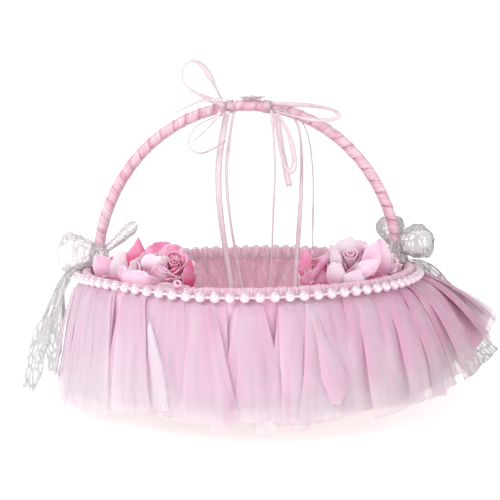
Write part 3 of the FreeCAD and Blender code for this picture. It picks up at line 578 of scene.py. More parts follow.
def strip_across(line, share, lean):
    """Directions across a ribbon and off its face; lean turns it from edge-on, at 0 degrees, to
    flat towards the front, at 90."""
    ahead = line.heading(share)
    flat = backwards.cross(ahead).normalized()
    mixed = backwards * math.cos(math.radians(lean)) + flat * math.sin(math.radians(lean))
    mixed -= ahead * mixed.dot(ahead)
    side = mixed.normalized()
    return side, side.cross(ahead)


def add_ribbon(bm, line, widths, leans, hollow, wobble, seed):
    """Adds a ribbon along a line, a little hollow across its width."""
    rows = max(8, int(line.length / (1.6 * mm)))

    def place(u, v):
        side, lift = strip_across(line, v, spread(leans, v))
        width = spread(widths, v)
        drift = wobble * waver(v * 9, seed, u * 0.7)
        bow = hollow * (1 - 4 * (u - 0.5) ** 2)
        return line.at(v) + side * (u - 0.5) * width + lift * (bow + drift)

    width = sum(widths) / len(widths)
    add_sheet(bm, 4, rows, place, (width / mm, line.length / mm))


def handle_line():
    """Centre line of the handle, from the left foot to the right foot."""
    foot, spring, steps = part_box("handle_wrap")[0].z / mm, 80.0, 240
    points = [Vector((-handle_reach, 0, foot)) * mm]
    for i in range(steps + 1):
        angle = math.pi * (1 - i / steps)
        x = max(-handle_reach, min(handle_reach, handle_reach * 1.011 * math.cos(angle)))
        z = spring + (handle_top - spring) * math.sin(angle)
        if z > foot + 6:
            points.append(Vector((x, 0, z)) * mm)
    points.append(Vector((handle_reach, 0, foot)) * mm)
    return Line(points)


def round_handle(line, share, turn, reach, along=0.0):
    """Place round the handle, at a reach from its centre line and moved along it."""
    ahead = line.heading(share)
    outward = Vector((-ahead.z, 0, ahead.x))
    away = outward * math.cos(turn) + backwards * math.sin(turn)
    return line.at(share) + ahead * along + away * reach


# ------------------------------------------------------------------ operators
class BASKET_OT_camera(bpy.types.Operator):
    """Camera in front of the basket and a little above it"""

    bl_idname = "basket.camera"
    bl_label = "Camera"

    def execute(self, context):
        data = bpy.data.cameras.new("front_camera")
        data.lens = 59.4
        data.sensor_width = 36
        data.clip_start = 0.01
        data.clip_end = 60
        camera = bpy.data.objects.new("front_camera", data)
        context.scene.collection.objects.link(camera)
        # degrees: turned right, tipped down and rolled
        yaw = Matrix.Rotation(math.radians(-0.14), 4, "Z")
        tilt = Matrix.Rotation(math.radians(90 - 6.25), 4, "X")
        roll = Matrix.Rotation(math.radians(-0.8), 4, "Z")
        camera.matrix_world = Matrix.Translation((0.0, -0.55, 0.155)) @ yaw @ tilt @ roll
        context.scene.camera = camera
        return {"FINISHED"}


class BASKET_OT_ribbon_tails(bpy.types.Operator):
    """Hanging ends of the two ribbon bows"""

    bl_idname = "basket.ribbon_tails"
    bl_label = "Ribbon Tails"

    # X and Z of its points, Y, leans along the tail in degrees, and length; millimetres
    routes = {
        "ribbon_tail_a": (
            [(-12, 186.6), (-18.5, 160), (-19, 128), (-14.8, 95), (-10.2, 66), (-9.2, 42)],
            -6.8, (70, 84, 78, 86, 74), 145.9,
        ),
        "ribbon_tail_b": (
            [(-7.8, 186.2), (-13.6, 158), (-13.2, 128), (-9, 97), (-3.4, 68), (-1, 43)],
            -5.6, (20, 30, 24, 36, 60), 144.6,
        ),
        "ribbon_tail_c": (
            [(16.4, 186.9), (19, 158.5), (17.6, 129), (15.9, 98), (14.8, 69), (14.6, 43)],
            -6.0, (20, 10, 14, 10, 16), 144.1,
        ),
        "ribbon_tail_d": (
            [(17.5, 188.2), (27.5, 186.2), (33.8, 178.4), (36.2, 163), (35.8, 136), (33.4, 104),
             (31.2, 76), (30.2, 51)],
            -6.6, (20, 12, 30, 44, 40, 52), 147.4,
        ),
        "ribbon_tail_e": (
            [(17.5, 189.4), (27.5, 188.4), (36.6, 181.6), (42.4, 168.5), (44.6, 144),
             (44.2, 114), (43.6, 87)],
            5.8, (10, 4, 2, 6, 4), 116.8,
        ),
        "ribbon_tail_short": (
            [(20.6, 183.5), (22.3, 161), (27.8, 137.5)], -8.6, (36, 50, 74), 46.7,
        ),
    }

    def execute(self, context):
        sizes, colours = context.scene.basket_sizes, context.scene.basket_colours
        satin = satin_finish(
            "ribbon satin", colours.ribbon, colours.ribbon_edge, 0.4, 0.4, 0.5,
            width=sizes.ribbon_width / mm,
        )
        for seed, (name, (route, depth, leans, length)) in enumerate(self.routes.items()):
            points = [Vector((x, depth, z)) * mm for x, z in route]
            line = Line(smooth_line(name + "_route", points))
            bm = bmesh.new()
            add_ribbon(bm, line, [sizes.ribbon_width] * 2, leans, 0.25 * mm, 0.3 * mm, seed)
            piece = new_piece(name + "_ribbon", bm, satin, [name])
            thicken(piece, 0.22 * mm)
            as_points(line.points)
        return {"FINISHED"}


class BASKET_OT_base(bpy.types.Operator):
    """Board, foot cord, chip-wood wall and rim hoop"""

    bl_idname = "basket.base"
    bl_label = "Base and Wall"

    def execute(self, context):
        colours = context.scene.basket_colours
        rust, brown = paint(168, 112, 92), paint(176, 140, 118)
        hoop, hoop_stain = paint(214, 192, 160), paint(188, 158, 124)
        cane, cane_stain = paint(214, 190, 150), paint(190, 160, 118)
        finishes = {
            "wall_stakes": wood_finish("chip stakes", colours.chip, rust, upright=True),
            "wall_weavers": wood_finish("chip rows", colours.weave, brown, upright=False),
            "base_board": board_finish("pressed board", paint(206, 186, 160)),
            "rim_hoop": wood_finish("hoop wood", hoop, hoop_stain, upright=False),
            "handle_core": wood_finish("cane core", cane, cane_stain, upright=True),
        }
        for node, finish in finishes.items():
            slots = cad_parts[node].data.materials
            slots.clear()
            slots.append(finish)
        low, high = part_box("foot_rope")
        radius = (high.z - low.z) / 2
        middle = high.x - radius
        strands, twists = 3, 24

        def place(u, v):
            angle, turn = math.tau * v, math.tau * u
            strand = abs(math.cos(strands / 2 * (turn - twists * angle)))
            reach = radius * (0.78 + 0.22 * strand ** 0.6)
            height = low.z + radius + reach * math.sin(turn)
            return polar(middle + reach * math.cos(turn), angle, height)

        bm = bmesh.new()
        add_sheet(bm, 18, 620, place, (12, 315))
        join_seams(bm)
        cord = cord_finish("foot cord", paint(206, 190, 170))
        new_piece("foot_cord", bm, cord, ["foot_rope"])
        return {"FINISHED"}


class BASKET_OT_rim(bpy.types.Operator):
    """Felt band folded over the rim, and the string of pearls on it"""

    bl_idname = "basket.rim"
    bl_label = "Rim and Pearls"

    def execute(self, context):
        sizes, colours = context.scene.basket_sizes, context.scene.basket_colours
        low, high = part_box("rim_band")
        tall = (high.z - low.z) / mm
        # section of the felt from its outer edge over the rim: millimetres in and down
        profile = (
            (0, tall), (0, tall - 3.5), (0, 2.6), (0.7, 0.5), (2.75, -0.1), (4.8, 0.5), (5.5, 2.6),
            (5.5, 8.1), (5.5, 10.1),
        )
        corners = [Vector((high.x - x * mm, 0, high.z - z * mm)) for x, z in profile]
        section = Line(smooth_line("band_section", corners))

        def place(u, v):
            angle = math.tau * v
            point = section.at(u)
            ring = polar(1.0, angle)
            pucker = noise.noise(ring * 22 + Vector((0, 0, u * 1.2)))
            ripple = noise.noise(ring * 62 + Vector((0, 0, 5 + u * 1.5)))
            edge = (1 - u) ** 3 + u ** 3
            crest = math.exp(-(((u - 0.5) / 0.22) ** 2))
            slack = mm if point.x > high.x - mm else 0.6 * mm
            reach = point.x + (0.3 * pucker + 0.38 * ripple) * slack
            height = point.z + (0.3 * pucker + 0.5 * edge * ripple + 0.8 * crest * ripple) * mm
            return ring * reach + Vector((0, 0, height))

        bm = bmesh.new()
        add_sheet(bm, 20, 760, place, (24.4, 670))
        join_seams(bm)
        felt = felt_finish("pink felt", colours.felt)
        band = new_piece("felt_band", bm, felt, ["rim_band"])
        thicken(band, 0.9 * mm, -1.0)

        middle = sizes.band_radius + sizes.pearl_radius + 0.1 * mm

        def seat(angle):
            return polar(middle, angle, string_height(angle))

        def string(u, v):
            """Thread that thickens between two pearls."""
            angle, turn = math.tau * v, math.tau * u
            reach = (0.55 + 0.35 * math.sin(math.pi * v * sizes.pearl_count) ** 2) * mm
            return seat(angle) + polar(reach * math.cos(turn), angle, reach * math.sin(turn))

        bm = bmesh.new()
        add_sheet(bm, 6, sizes.pearl_count * 8, string, (6, 707))
        join_seams(bm)
        for i in range(sizes.pearl_count):
            angle = math.tau / sizes.pearl_count * i
            turn = Matrix.Translation(seat(angle)) @ Matrix.Rotation(angle, 4, "Z")
            tip = turn @ Matrix.Rotation(math.pi / 2, 4, "X")
            bmesh.ops.create_uvsphere(
                bm, u_segments=18, v_segments=12, radius=sizes.pearl_radius, matrix=tip
            )
        pearl = pearl_finish("pearl lustre", colours.pearl)
        new_piece("pearls", bm, pearl, ["pearl_string"])
        return {"FINISHED"}


class BASKET_OT_lining(bpy.types.Operator):
    """Gathered satin lining and its floor"""

    bl_idname = "basket.lining"
    bl_label = "Lining"

    # height and the radius that the wall leaves free there, in millimetres
    outline = (
        (4.3, 45.3), (20, 48.4), (33, 51.4), (38, 52.9), (43, 56.4), (46.4, 60.4),
        (55, 73.6), (65, 87.5), (75.1, 101.6), (77.6, 103.5),
    )

    def execute(self, context):
        sizes, colours = context.scene.basket_sizes, context.scene.basket_colours
        chance = random.Random(7)
        bottom, top = self.outline[0][0], self.outline[-1][0]
        # angle and depth of each pleat
        pleats = []
        angle = 0.0
        while angle < math.tau:
            pleats.append((angle, chance.uniform(0.5, 1.0)))
            angle += math.tau / sizes.pleats * chance.uniform(0.6, 1.4)

        def pleat(angle, share):
            angle += 0.05 * noise.noise(polar(1.3, angle, share * 1.5))
            deepest = 0.0
            for centre, depth in pleats:
                gap = (angle - centre + math.pi) % math.tau - math.pi
                if abs(gap) < 0.16:
                    deepest = max(deepest, depth * math.exp(-((gap / 0.045) ** 2)))
            return deepest * (0.35 + 0.65 * share ** 1.5)

        def place(u, v):
            angle = math.tau * u
            height = bottom + (top - bottom) * v
            reach = read_rows(self.outline, height)[0]
            depth = 0.4 + 0.035 * reach * pleat(angle, v)
            depth += 0.3 * (1 + noise.noise(polar(3.0, angle, height * 0.05)))
            return polar(reach - depth, angle, height) * mm

        bm = bmesh.new()
        add_sheet(bm, 560, 26, place, (650, 115))
        join_seams(bm, outward=False)
        satin = satin_finish(
            "lining satin", colours.lining, darker(colours.lining, 0.7), 0.6, 0.36, 0.7
        )
        lining = new_piece("lining_cloth", bm, satin, ["lining_wall"])
        thicken(lining, 0.35 * mm)

        low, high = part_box("lining_floor")
        radius = high.x - 0.2 * mm
        thick = high.z - low.z

        def pad(u, v):
            """Gathered top for the first half of v, and a flat underside for the rest."""
            angle = math.tau * u
            share = math.sin(math.pi * v)
            if v > 0.5:
                return polar(radius * share, angle, low.z + 0.05 * mm)
            lift = thick * (0.35 + 0.5 * (1 - share ** 6))
            gather = math.sin(38 * angle + 6 * noise.noise(polar(2, angle)))
            gather *= 0.35 * mm * share ** 2 * (1 - share ** 8)
            return polar(radius * share, angle, low.z + lift + gather)

        bm = bmesh.new()
        add_sheet(bm, 152, 32, pad, (277, 88))
        join_seams(bm)
        floor = satin_finish(
            "floor satin", colours.lining, darker(colours.lining, 0.8), 0.6, 0.4, 0.4
        )
        new_piece("lining_floor_pad", bm, floor, ["lining_floor"])
        return {"FINISHED"}


def string_height(angle):
    """Height of the pearl string in metres: it is sewn higher at the back and the front left."""
    sizes = bpy.context.scene.basket_sizes
    back = 0.5 - 0.5 * math.cos(math.pi * max(0.0, math.sin(angle)))
    turn = (math.degrees(angle) - 222 + 180) % 360 - 180
    front = 3.2 * mm * math.exp(-((turn / 26) ** 2))
    wander = 0.15 * mm * math.sin(5 * angle + 1) + 0.1 * mm * math.sin(11 * angle)
    return sizes.band_top - 4.6 * mm + sizes.pearl_rise * back + front + wander


class BASKET_OT_handle(bpy.types.Operator):
    """Satin ribbon wound round the handle"""

    bl_idname = "basket.handle"
    bl_label = "Handle"

    def execute(self, context):
        sizes, colours = context.scene.basket_sizes, context.scene.basket_colours
        line = handle_line()
        turns = line.length / sizes.wrap_pitch
        lap = 1.45  # turns that the ribbon is wide, so that each lies on the one before

        def place(u, v):
            winding = (turns + lap) * v - lap
            slack = 0.12 * waver(winding * 0.9, 3.0, 0)
            share = max(0.0, min(1.0, (winding + (lap + slack) * u) / turns))
            radius = sizes.wrap_low + (sizes.wrap_high - sizes.wrap_low) * u ** 0.7
            radius += 0.14 * mm * waver(winding * 2.3, u * 2.5, 1.0)
            radius -= 0.16 * mm * max(0.0, (u - 0.86) / 0.14) ** 2
            return round_handle(line, share, math.tau * winding - 0.6, radius)

        width, girth = 14.0, 23
        bm = bmesh.new()
        add_sheet(bm, 9, int((turns + lap) * 22), place, (width, turns * girth))
        satin = satin_finish(
            "handle satin", colours.satin, colours.satin_fold_shade, 0.5, 0.3, 0.8, crease=width
        )
        wrap = new_piece("handle_ribbon", bm, satin, ["handle_wrap"])
        thicken(wrap, 0.25 * mm, -1.0)
        return {"FINISHED"}


class BASKET_OT_tulle(bpy.types.Operator):
    """Skirt of tulle strips over a gathered under layer, hung from behind the pearls"""

    bl_idname = "basket.tulle"
    bl_label = "Tulle Skirt"

    # angle, radius and height of the hem in millimetres, share of the height that stays thick, and how
    # pink the tulle is there; the pink rises towards the right side, away from the light, as painted
    # shade
    hem = (
        (0, 160, 49, 0.66, 0.45), (12, 155, 41, 0.6, 0.42), (28, 141, 22, 0.55, 0.4),
        (45, 131, 17, 0.6, 0.35), (90, 121, 16, 0.65, 0.3), (135, 122, 17, 0.6, 0.25),
        (162, 125, 14, 0.6, 0.2), (180, 126, 10, 0.55, 0.15), (198, 125, 10, 0.5, 0.12),
        (215, 123, 14, 0.52, 0.15), (238, 120, 17, 0.58, 0.2), (250, 119, 17, 0.8, 0.28),
        (258, 118, 15, 0.86, 0.32), (276, 119, 14, 0.86, 0.35), (290, 126, 17, 0.8, 0.35),
        (304, 133, 16, 0.6, 0.32), (318, 137, 19, 0.58, 0.36), (332, 142, 28, 0.58, 0.42),
        (346, 152, 40, 0.68, 0.45), (360, 160, 50, 0.66, 0.45),
    )
    # single strips: rows of angle, half width, radius and height, and in some how much farther
    # out and higher the edge at the greater angle is; then how pink, how thick and how crowned
    singles = (
        (((242.2, 0.5, 117.0, 68), (242.6, 1.9, 118.0, 64), (243.6, 3.2, 119.2, 55),
          (245.2, 4.4, 120.8, 45), (246.0, 4.8, 121.8, 33), (246.3, 6.0, 122.4, 20)), -0.6, 0.5, 0.4),
        (((246.5, 6.5, 119.5, 26), (246.2, 8.0, 121.5, 17)), -0.2, 0.3, 0.5),
        (((287.6, 2.6, 113.5, 77), (287.9, 2.8, 120.5, 65), (288.6, 4.0, 125.5, 55),
          (289.6, 6.4, 128.5, 47), (290.2, 7.4, 130, 39.5), (290.6, 6.0, 131, 31.5),
          (290.4, 3.0, 131.5, 25.5)), 0.6, 0.42, 2.2),
        (((356.4, 9, 111.5, 79, 0, 0.5), (354.6, 12, 127, 68, 3, 4), (352.6, 17, 143, 55, 7, 8),
          (351, 22, 157, 43, 10, 9)), 0.3, 0.34, 1.5),
        (((356.4, 9, 110.5, 79, 0, 0.5), (355.6, 12, 125, 68, 3, 4), (353.8, 17, 141, 55.5, 7, 8),
          (352.6, 21, 155, 43.5, 9, 9)), 0.3, 0.32, 1.0),
        (((359.5, 8, 109.5, 79, 0, 0.5), (358.8, 12, 124, 68.5, 3, 4), (357.6, 16, 140, 57, 6, 7),
          (356.2, 18, 154, 46.5, 7, 8)), 0.3, 0.3, 1.0),
        (((347, 11, 111.5, 78.5, 0, 0.5), (346, 15, 126, 65, 1, 2), (345.6, 18, 140, 55, 2, 5),
          (345.2, 19, 152, 44, 4, 7)), 0.5, 0.45, 1.5),
        (((263, 3.0, 119, 40), (262.4, 4.5, 122, 22), (262, 5.5, 124, 9.5)), -0.3, 0.3, 0.6),
        (((273, 3.0, 119, 40), (273.4, 5.0, 122, 22), (274, 6.5, 124.5, 9)), -0.3, 0.3, 0.6),
        (((284, 3.0, 120, 40), (283.2, 4.0, 123, 24), (282.4, 5.0, 125, 11)), -0.3, 0.34, 0.6),
    )
    strip_length = 70  # from the pearls to the hem, in millimetres

    def execute(self, context):
        sizes, colours = context.scene.basket_sizes, context.scene.basket_colours
        net = tulle_finish(
            "pink tulle", colours.tulle_pale, colours.tulle_deep, colours.tulle_right_shade
        )
        chance = random.Random(23)
        self.top = sizes.band_radius / mm + 0.3
        for side, middle in (("front", 270), ("right", 0), ("back", 90), ("left", 180)):
            bm = bmesh.new()
            flat = self.under(bm, middle)
            for layer, count in enumerate((7, 9, 8)):
                for i in range(count):
                    angle = middle - 45 + 90 * (i + 0.5 + 0.2 * layer) / count
                    angle += chance.uniform(-2.2, 2.2)
                    flat += self.strip(bm, chance, angle, layer)
            for rows, *values in self.singles:
                if abs((rows[0][0] - middle + 180) % 360 - 180) <= 45:
                    flat += self.single(bm, rows, *values)
            piece = new_piece("tulle_" + side + "_strips", bm, net, ["tulle_" + side])
        return {"FINISHED"}

    def hem_at(self, angle):
        """Radius, height, thick share and pink of the hem at an angle."""
        return read_rows(self.hem, angle % 360)

    def parted(self, angle, height):
        """1 where the strips hang close, less where they part and show the foot."""
        gap = math.exp(-(((angle % 360 - 286) / 2.8) ** 2))
        return 1 - 0.85 * gap * ease((40 - height) / 10)

    def under(self, bm, middle):
        """Adds the gathered layer under the strips of one side; it gives back its flat area.

        Pink and dense, as in the other strips, are how far its colour and its cover go.
        """

        def angle_at(u):
            return middle - 45 + 90 * u

        def height_at(u, v):
            top = string_height(math.radians(angle_at(u))) / mm - 2.0
            return top + (self.hem_at(angle_at(u))[1] + 1.5 - top) * v

        def place(u, v):
            turn = math.radians(angle_at(u))
            hem_radius = self.hem_at(angle_at(u))[0] - 5
            right = max(0.0, math.cos(turn))
            ring = polar(1.0, turn)
            reach = self.top + 0.2 + (hem_radius - 3 * right ** 3 - self.top) * v
            pleat = noise.noise(ring * 19 + Vector((0, 0, v * 0.8)))
            pleat += 0.3 * noise.noise(ring * 37 + Vector((0, 0, 3 + v * 0.9)))
            deep = 2.6 - 1.6 * max(0.0, -math.cos(turn))
            reach += deep * pleat * ease(v * 5) + ease(v * 12)
            return polar(max(reach, self.top), turn, max(1.0, height_at(u, v))) * mm

        def dense(u, v):
            long = self.hem_at(angle_at(u))[2]
            body = 0.92 - 0.74 * ease((v - long + 0.1) / (1.02 - long))
            return body * self.parted(angle_at(u), height_at(u, v))

        def pink(u, v):
            return self.hem_at(angle_at(u))[3] + 0.35 + 0.25 * (1 - v)

        grades = {"dense": dense, "pink": pink, "rim": lambda u, v: edge_width}
        add_sheet(bm, 220, 22, place, (320, self.strip_length), grades)
        wide, tall, gathered = 0.19, 0.072, 1.35
        return wide * tall * gathered

    def strip(self, bm, chance, angle, layer):
        """Adds one strip; it gives back its flat area in square metres."""
        hem_radius, hem_height, long, tone = self.hem_at(angle)
        base_angle = math.radians(angle)
        right = max(0.0, math.cos(base_angle))
        top_height = string_height(base_angle) / mm - 1.9
        hem_radius += chance.uniform(-1.5, 2.0) + (layer - 1) * 2.0 - (2 - layer) * 2 * right ** 3
        hem_height += chance.uniform(-2.5, 3.5) + (1 - layer) - (2 - layer) * 3 * right ** 3
        if layer == 2 and 250 < angle % 360 < 300:
            hem_height += 3.0
        calm = max(0.0, -math.cos(base_angle))
        top_half = chance.uniform(4.8, 6.8) + 1.6 * calm
        hem_half = (chance.uniform(9.0, 14.0) + 3.5 * calm) * (hem_radius / 119) ** 1.4
        folds = chance.choice((1.0, 1.5, 2.0))
        phase = chance.uniform(0, 6.28)
        crown = chance.uniform(1.5, 2.7) + 1.5 * right - 0.7 * calm
        sway = math.radians(chance.uniform(-3.5, 3.5))
        cut = chance.uniform(-5, 5)
        bulge = chance.uniform(0.0, 1.5) + 1.5 * right
        seed = chance.uniform(0, 100)
        strength = chance.uniform(0.85, 1.1) + 0.1 * right
        pinkness = tone + chance.uniform(-0.12, 0.12) - 0.06 * layer
        rise = 0.5 + 0.8 * layer

        def half_at(v):
            return top_half + (hem_half - top_half) * v ** 0.8

        def height_at(v):
            return top_height - (top_height - hem_height) * v

        def place(u, v):
            reach = self.top + 0.1 * layer + (hem_radius - self.top) * v ** (0.88 - 0.1 * right)
            reach += bulge * math.sin(math.pi * v) + rise * ease(v * 11)
            side = 2 * u - 1
            shoulder = ease(v * 9) * (1 - 0.55 * ease(v * 1.4))
            reach += crown * (1 - side * side) * shoulder
            wave = math.sin(math.tau * folds * u + phase + 0.8 * v)
            reach += (0.9 - 0.4 * calm) * v * wave
            reach += 1.1 * ease(v * 3) * waver(u * 1.6, v * 1.5, seed)
            around = side * half_at(v) / self.top
            drift = 0.02 * waver(v * 2.2, seed, 7)
            turn = base_angle + around + (sway + drift) * v
            height = height_at(v) + cut * side * 0.5 * v ** 3
            return polar(max(reach, self.top), turn, max(1.2, height)) * mm

        def dense(u, v):
            body = 0.52 - 0.28 * ease((v - long + 0.15) / (1.1 - long))
            side = abs(2 * u - 1)
            folded = 0.12 * ease((side - 0.6) / 0.4) * ease(1.6 - 1.6 * v)
            return (strength * body + folded) * self.parted(angle, height_at(v))

        def pink(u, v):
            # painted shade: pinker towards the rounded sides of the strip, more so on the right
            edge = (0.18 + 0.4 * right) * (2 * u - 1) ** 4 * (1 - 0.5 * v)
            return pinkness + 0.2 * (1 - ease(v * 1.2)) + edge

        def rim(u, v):
            return min((1 - abs(2 * u - 1)) * half_at(v), (1 - v) * self.strip_length, edge_width)

        grades = {"dense": dense, "pink": pink, "rim": rim}
        add_sheet(bm, 26, 24, place, (2.2 * hem_half, self.strip_length), grades)
        run = math.hypot(top_height - hem_height, hem_radius - self.top)
        return (top_half + hem_half) * 1.12 * run * mm * mm

    def single(self, bm, rows, pinkness, thick, crown):
        """Adds a strip that follows its own rows; it gives back its flat area."""
        columns = list(zip(*((*row, 0, 0)[:6] for row in rows)))
        bare = pinkness < -0.5  # white, and faded at its sides in place of cut edges
        seed = rows[0][0]

        def place(u, v):
            angle, half, reach, height, outer, upper = (spread(column, v) for column in columns)
            side = 2 * u - 1
            reach += side * outer
            height += side * upper
            reach += crown * (1 - side * side) + 0.9 * waver(u * 2, v * 2, seed)
            half *= 1 + 0.16 * waver(v * 5, seed, 1.0 if side < 0 else 4.0)
            return polar(reach, math.radians(angle) + side * half / reach, height) * mm

        half = sum(columns[1]) / len(rows)
        tall = rows[0][3] - rows[-1][3]

        def rim(u, v):
            if bare:
                return edge_width
            return min((1 - abs(2 * u - 1)) * half, (1 - v) * tall, edge_width)

        def dense(u, v):
            soft = 1 - 0.9 * (2 * u - 1) ** 2 if bare else 1.0
            return thick * soft * ease(7 * v)

        def pink(u, v):
            return pinkness + 0.25 * waver(u * 4, v, seed)

        grades = {"dense": dense, "pink": pink, "rim": rim}
        add_sheet(bm, 10, 20, place, (2 * half, tall), grades)
        return 2.1 * half * tall * mm * mm


class BASKET_OT_roses(bpy.types.Operator):
    """Foam roses on the front of the rim"""

    bl_idname = "basket.roses"
    bl_label = "Roses"

    # middle and radius in millimetres, lean to the front, heading (0 is the front, 90 the right),
    # tint of the outer and inner petals
    roses = {
        "rose_left_outer": ((-83, -33, 89), 11.5, 35, -30, 0.16, 0.3),
        "rose_left_middle": ((-57.0, -64.5, 92.8), 12.4, 34, -22, 0.16, 0.06),
        "rose_left_inner": ((-43.5, -77, 94.5), 9.0, 48, 12, 0.52, 0.74),
        "rose_right_inner": ((40, -56, 89), 9.2, 30, -20, 0.6, 0.75),
        "rose_right_middle": ((60.5, -66.5, 94), 13.2, 40, -14, 0.14, 0.12),
        "rose_right_outer": ((82, -33, 91), 12.2, 30, 18, 0.1, 0.22),
    }
    # single petals: rose, middle in millimetres, heading, lean back and roll in degrees, half
    # width, half height, cup and curl of the rim in millimetres, tint, how pointed
    petals = (
        ("rose_left_outer", (-88.5, -41.5, 88.5), -18, 14, -14, 8.5, 11.5, 3.2, 1.4, 0.3, 0.3),
        ("rose_left_outer", (-77.0, -45.5, 89.5), 0, 10, 6, 8.2, 12.0, 3.4, 1.0, 0.08, 0.15),
        ("rose_left_outer", (-84, -46.5, 81.5), -6, 24, 10, 8.5, 5.5, 1.6, 0.8, 0.5, 0.2),
        ("rose_left_outer", (-67.2, -52, 99.5), 6, 4, 6, 7.0, 10.5, 2.2, 1.2, 0.72, 0.9),
        ("rose_left_middle", (-60.0, -80.5, 86.0), -8, 24, 26, 13.0, 10.0, 5.0, 2.0, 0.34, 0.2),
        ("rose_left_middle", (-70.0, -74.0, 88.0), -34, 18, 6, 6.5, 9.0, 2.4, 1.4, 0.3, 0.3),
        ("rose_left_middle", (-49.5, -80.0, 89.5), 18, 20, -42, 5.4, 9.0, 2.0, 1.2, 0.32, 0.1),
        ("rose_left_middle", (-53.0, -55.0, 98.5), 6, -4, -6, 10.0, 8.5, 3.0, 1.2, 0.66, 0.0),
        ("rose_left_middle", (-53.5, -75.0, 96.5), 8, 32, 10, 9.0, 7.6, 5.0, 0.2, 0.12, 0.0),
        ("rose_left_inner", (-34.8, -79.0, 90.0), 34, 8, -10, 4.6, 11.0, 2.6, 1.4, 0.78, 0.4),
        ("rose_left_inner", (-47.0, -90.5, 83.5), -4, 34, -10, 6.6, 5.6, 2.0, 1.0, 0.12, 0.2),
        ("rose_left_inner", (-38.8, -91.0, 83.0), 12, 32, -22, 6.6, 5.2, 2.0, 1.0, 0.08, 0.5),
        ("rose_left_inner", (-44.5, -66.0, 98.0), 6, -6, 0, 8.6, 8.5, 2.4, 1.2, 0.56, 0.1),
        ("rose_right_inner", (40.5, -62.5, 83.0), -8, 12, 4, 9.0, 8.0, 2.6, 1.0, 0.62, 0.2),
        ("rose_right_inner", (34.5, -58.0, 90.5), -30, 4, 4, 5.0, 12.0, 1.8, 1.2, 0.66, 0.5),
        ("rose_right_middle", (51.0, -79.5, 87.8), -26, 16, 4, 6.2, 10.2, 3.6, 1.4, 0.14, 0.2),
        ("rose_right_middle", (51.5, -70.0, 97.0), -34, 4, -12, 4.0, 9.0, 1.8, 1.2, 0.04, 0.3),
        ("rose_right_middle", (60.5, -81.0, 86.5), -6, 22, 16, 9.0, 9.4, 4.4, 1.8, 0.12, 0.9),
        ("rose_right_middle", (66.5, -79.0, 92.0), 10, 12, -38, 9.4, 6.2, 2.6, 1.8, 0.16, 0.6),
        ("rose_right_middle", (71.5, -72.0, 96.5), 24, 2, 8, 6.8, 10.5, 2.0, 1.4, 0.26, 0.4),
        ("rose_right_middle", (59.5, -60.5, 102.0), 0, -6, -6, 9.5, 6.5, 3.0, 1.4, 0.06, 0.3),
        ("rose_right_outer", (81.5, -45.0, 93.8), 4, 6, -6, 6.6, 13.4, 2.8, 1.5, 0.2, 0.3),
        ("rose_right_outer", (72.0, -49.5, 93.0), -22, 6, 8, 4.2, 10.0, 2.0, 1.2, 0.3, 0.4),
        ("rose_right_outer", (76.0, -56.0, 83.5), -4, 26, 8, 9.0, 6.4, 2.4, 1.4, 0.5, 0.4),
        ("rose_right_outer", (90.5, -37.0, 84.5), 30, 20, 16, 6.6, 6.5, 2.2, 1.2, 0.4, 0.3),
        ("rose_right_outer", (69.5, -44.5, 94.5), -10, 2, 0, 6.5, 11.0, 2.6, 1.0, 0.2, 0.1),
    )
    # rolled petals: rose, start, direction, length, radius, tint, turn of the outer edge
    rolls = (
        ("rose_left_inner", (-39.5, -101.5, 86.5), (0.2, -0.5, 0.5), 3.6, 2.4, 0.5, 3),
        ("rose_right_inner", (38.5, -66, 86), (13.5, -2, 19.5), 19.5, 2.0, 0.62, 5),
        ("rose_right_inner", (39.5, -58, 98.5), (0.5, -3, 0.5), 3.4, 2.0, 0.66, 7),
    )
    base_height = 76.4  # where the roses sit on the pleats, in millimetres

    def execute(self, context):
        colours = context.scene.basket_colours
        foam = foam_finish(
            "rose foam", colours.petal_pale, colours.petal_pink, colours.petal_hot
        )
        for seed, (name, values) in enumerate(self.roses.items()):
            chance = random.Random(40 + seed)
            bm = bmesh.new()
            self.whorls(bm, chance, *values)
            for i, (rose, *petal) in enumerate(self.petals):
                if rose == name:
                    self.petal(bm, 10.0 + i, *petal)
            for rose, *roll in self.rolls:
                if rose == name:
                    self.roll(bm, *roll)
            piece = new_piece(name + "_petals", bm, foam, [name])
            thicken(piece, 0.6 * mm, rounds=1)
        return {"FINISHED"}

    def whorls(self, bm, chance, middle, radius, lean, heading, outer, inner):
        """Adds rings of cupped petals, one inside the other, and the rolled middle."""
        turn = turned(heading, lean)
        middle = Vector(middle)
        # petals, size, how far they reach up the ball, half width, flare of the rim
        rings = (
            (5, 1.0, 96, 47, 2.2), (4, 0.84, 110, 50, 1.8), (3, 0.64, 124, 62, 1.2),
            (3, 0.42, 136, 62, 0.6),
        )
        for ring, (count, size, opening, wide, flare) in enumerate(rings):
            shift = chance.uniform(0, 90)
            for i in range(count):
                direction = math.radians(shift + 360 * (i + chance.uniform(-0.15, 0.15)) / count)
                shape = (
                    radius * size * chance.uniform(0.94, 1.06),
                    math.radians(opening + chance.uniform(-7, 7)),
                    math.radians(wide * chance.uniform(0.9, 1.15)),
                    flare * chance.uniform(0.6, 1.3),
                )
                tint = outer + (inner - outer) * ring / 3 + chance.uniform(-0.06, 0.08)
                self.cup(bm, middle, turn, direction, shape, tint, chance.uniform(0, 90))

        def core(u, v):
            angle = math.tau * 2.2 * u
            reach = radius * (0.04 + 0.3 * u) * (0.7 + 0.3 * v + 0.12 * v ** 5)
            level = radius * (-0.5 + 1.22 * v - 0.14 * u + 0.03 * math.sin(2 * angle) * v)
            return (middle + turn @ polar(reach, angle, level)) * mm

        def shade(u, v):
            return inner + 0.16 + 0.5 * (1 - ease(v * 1.2)) - 0.12 * u

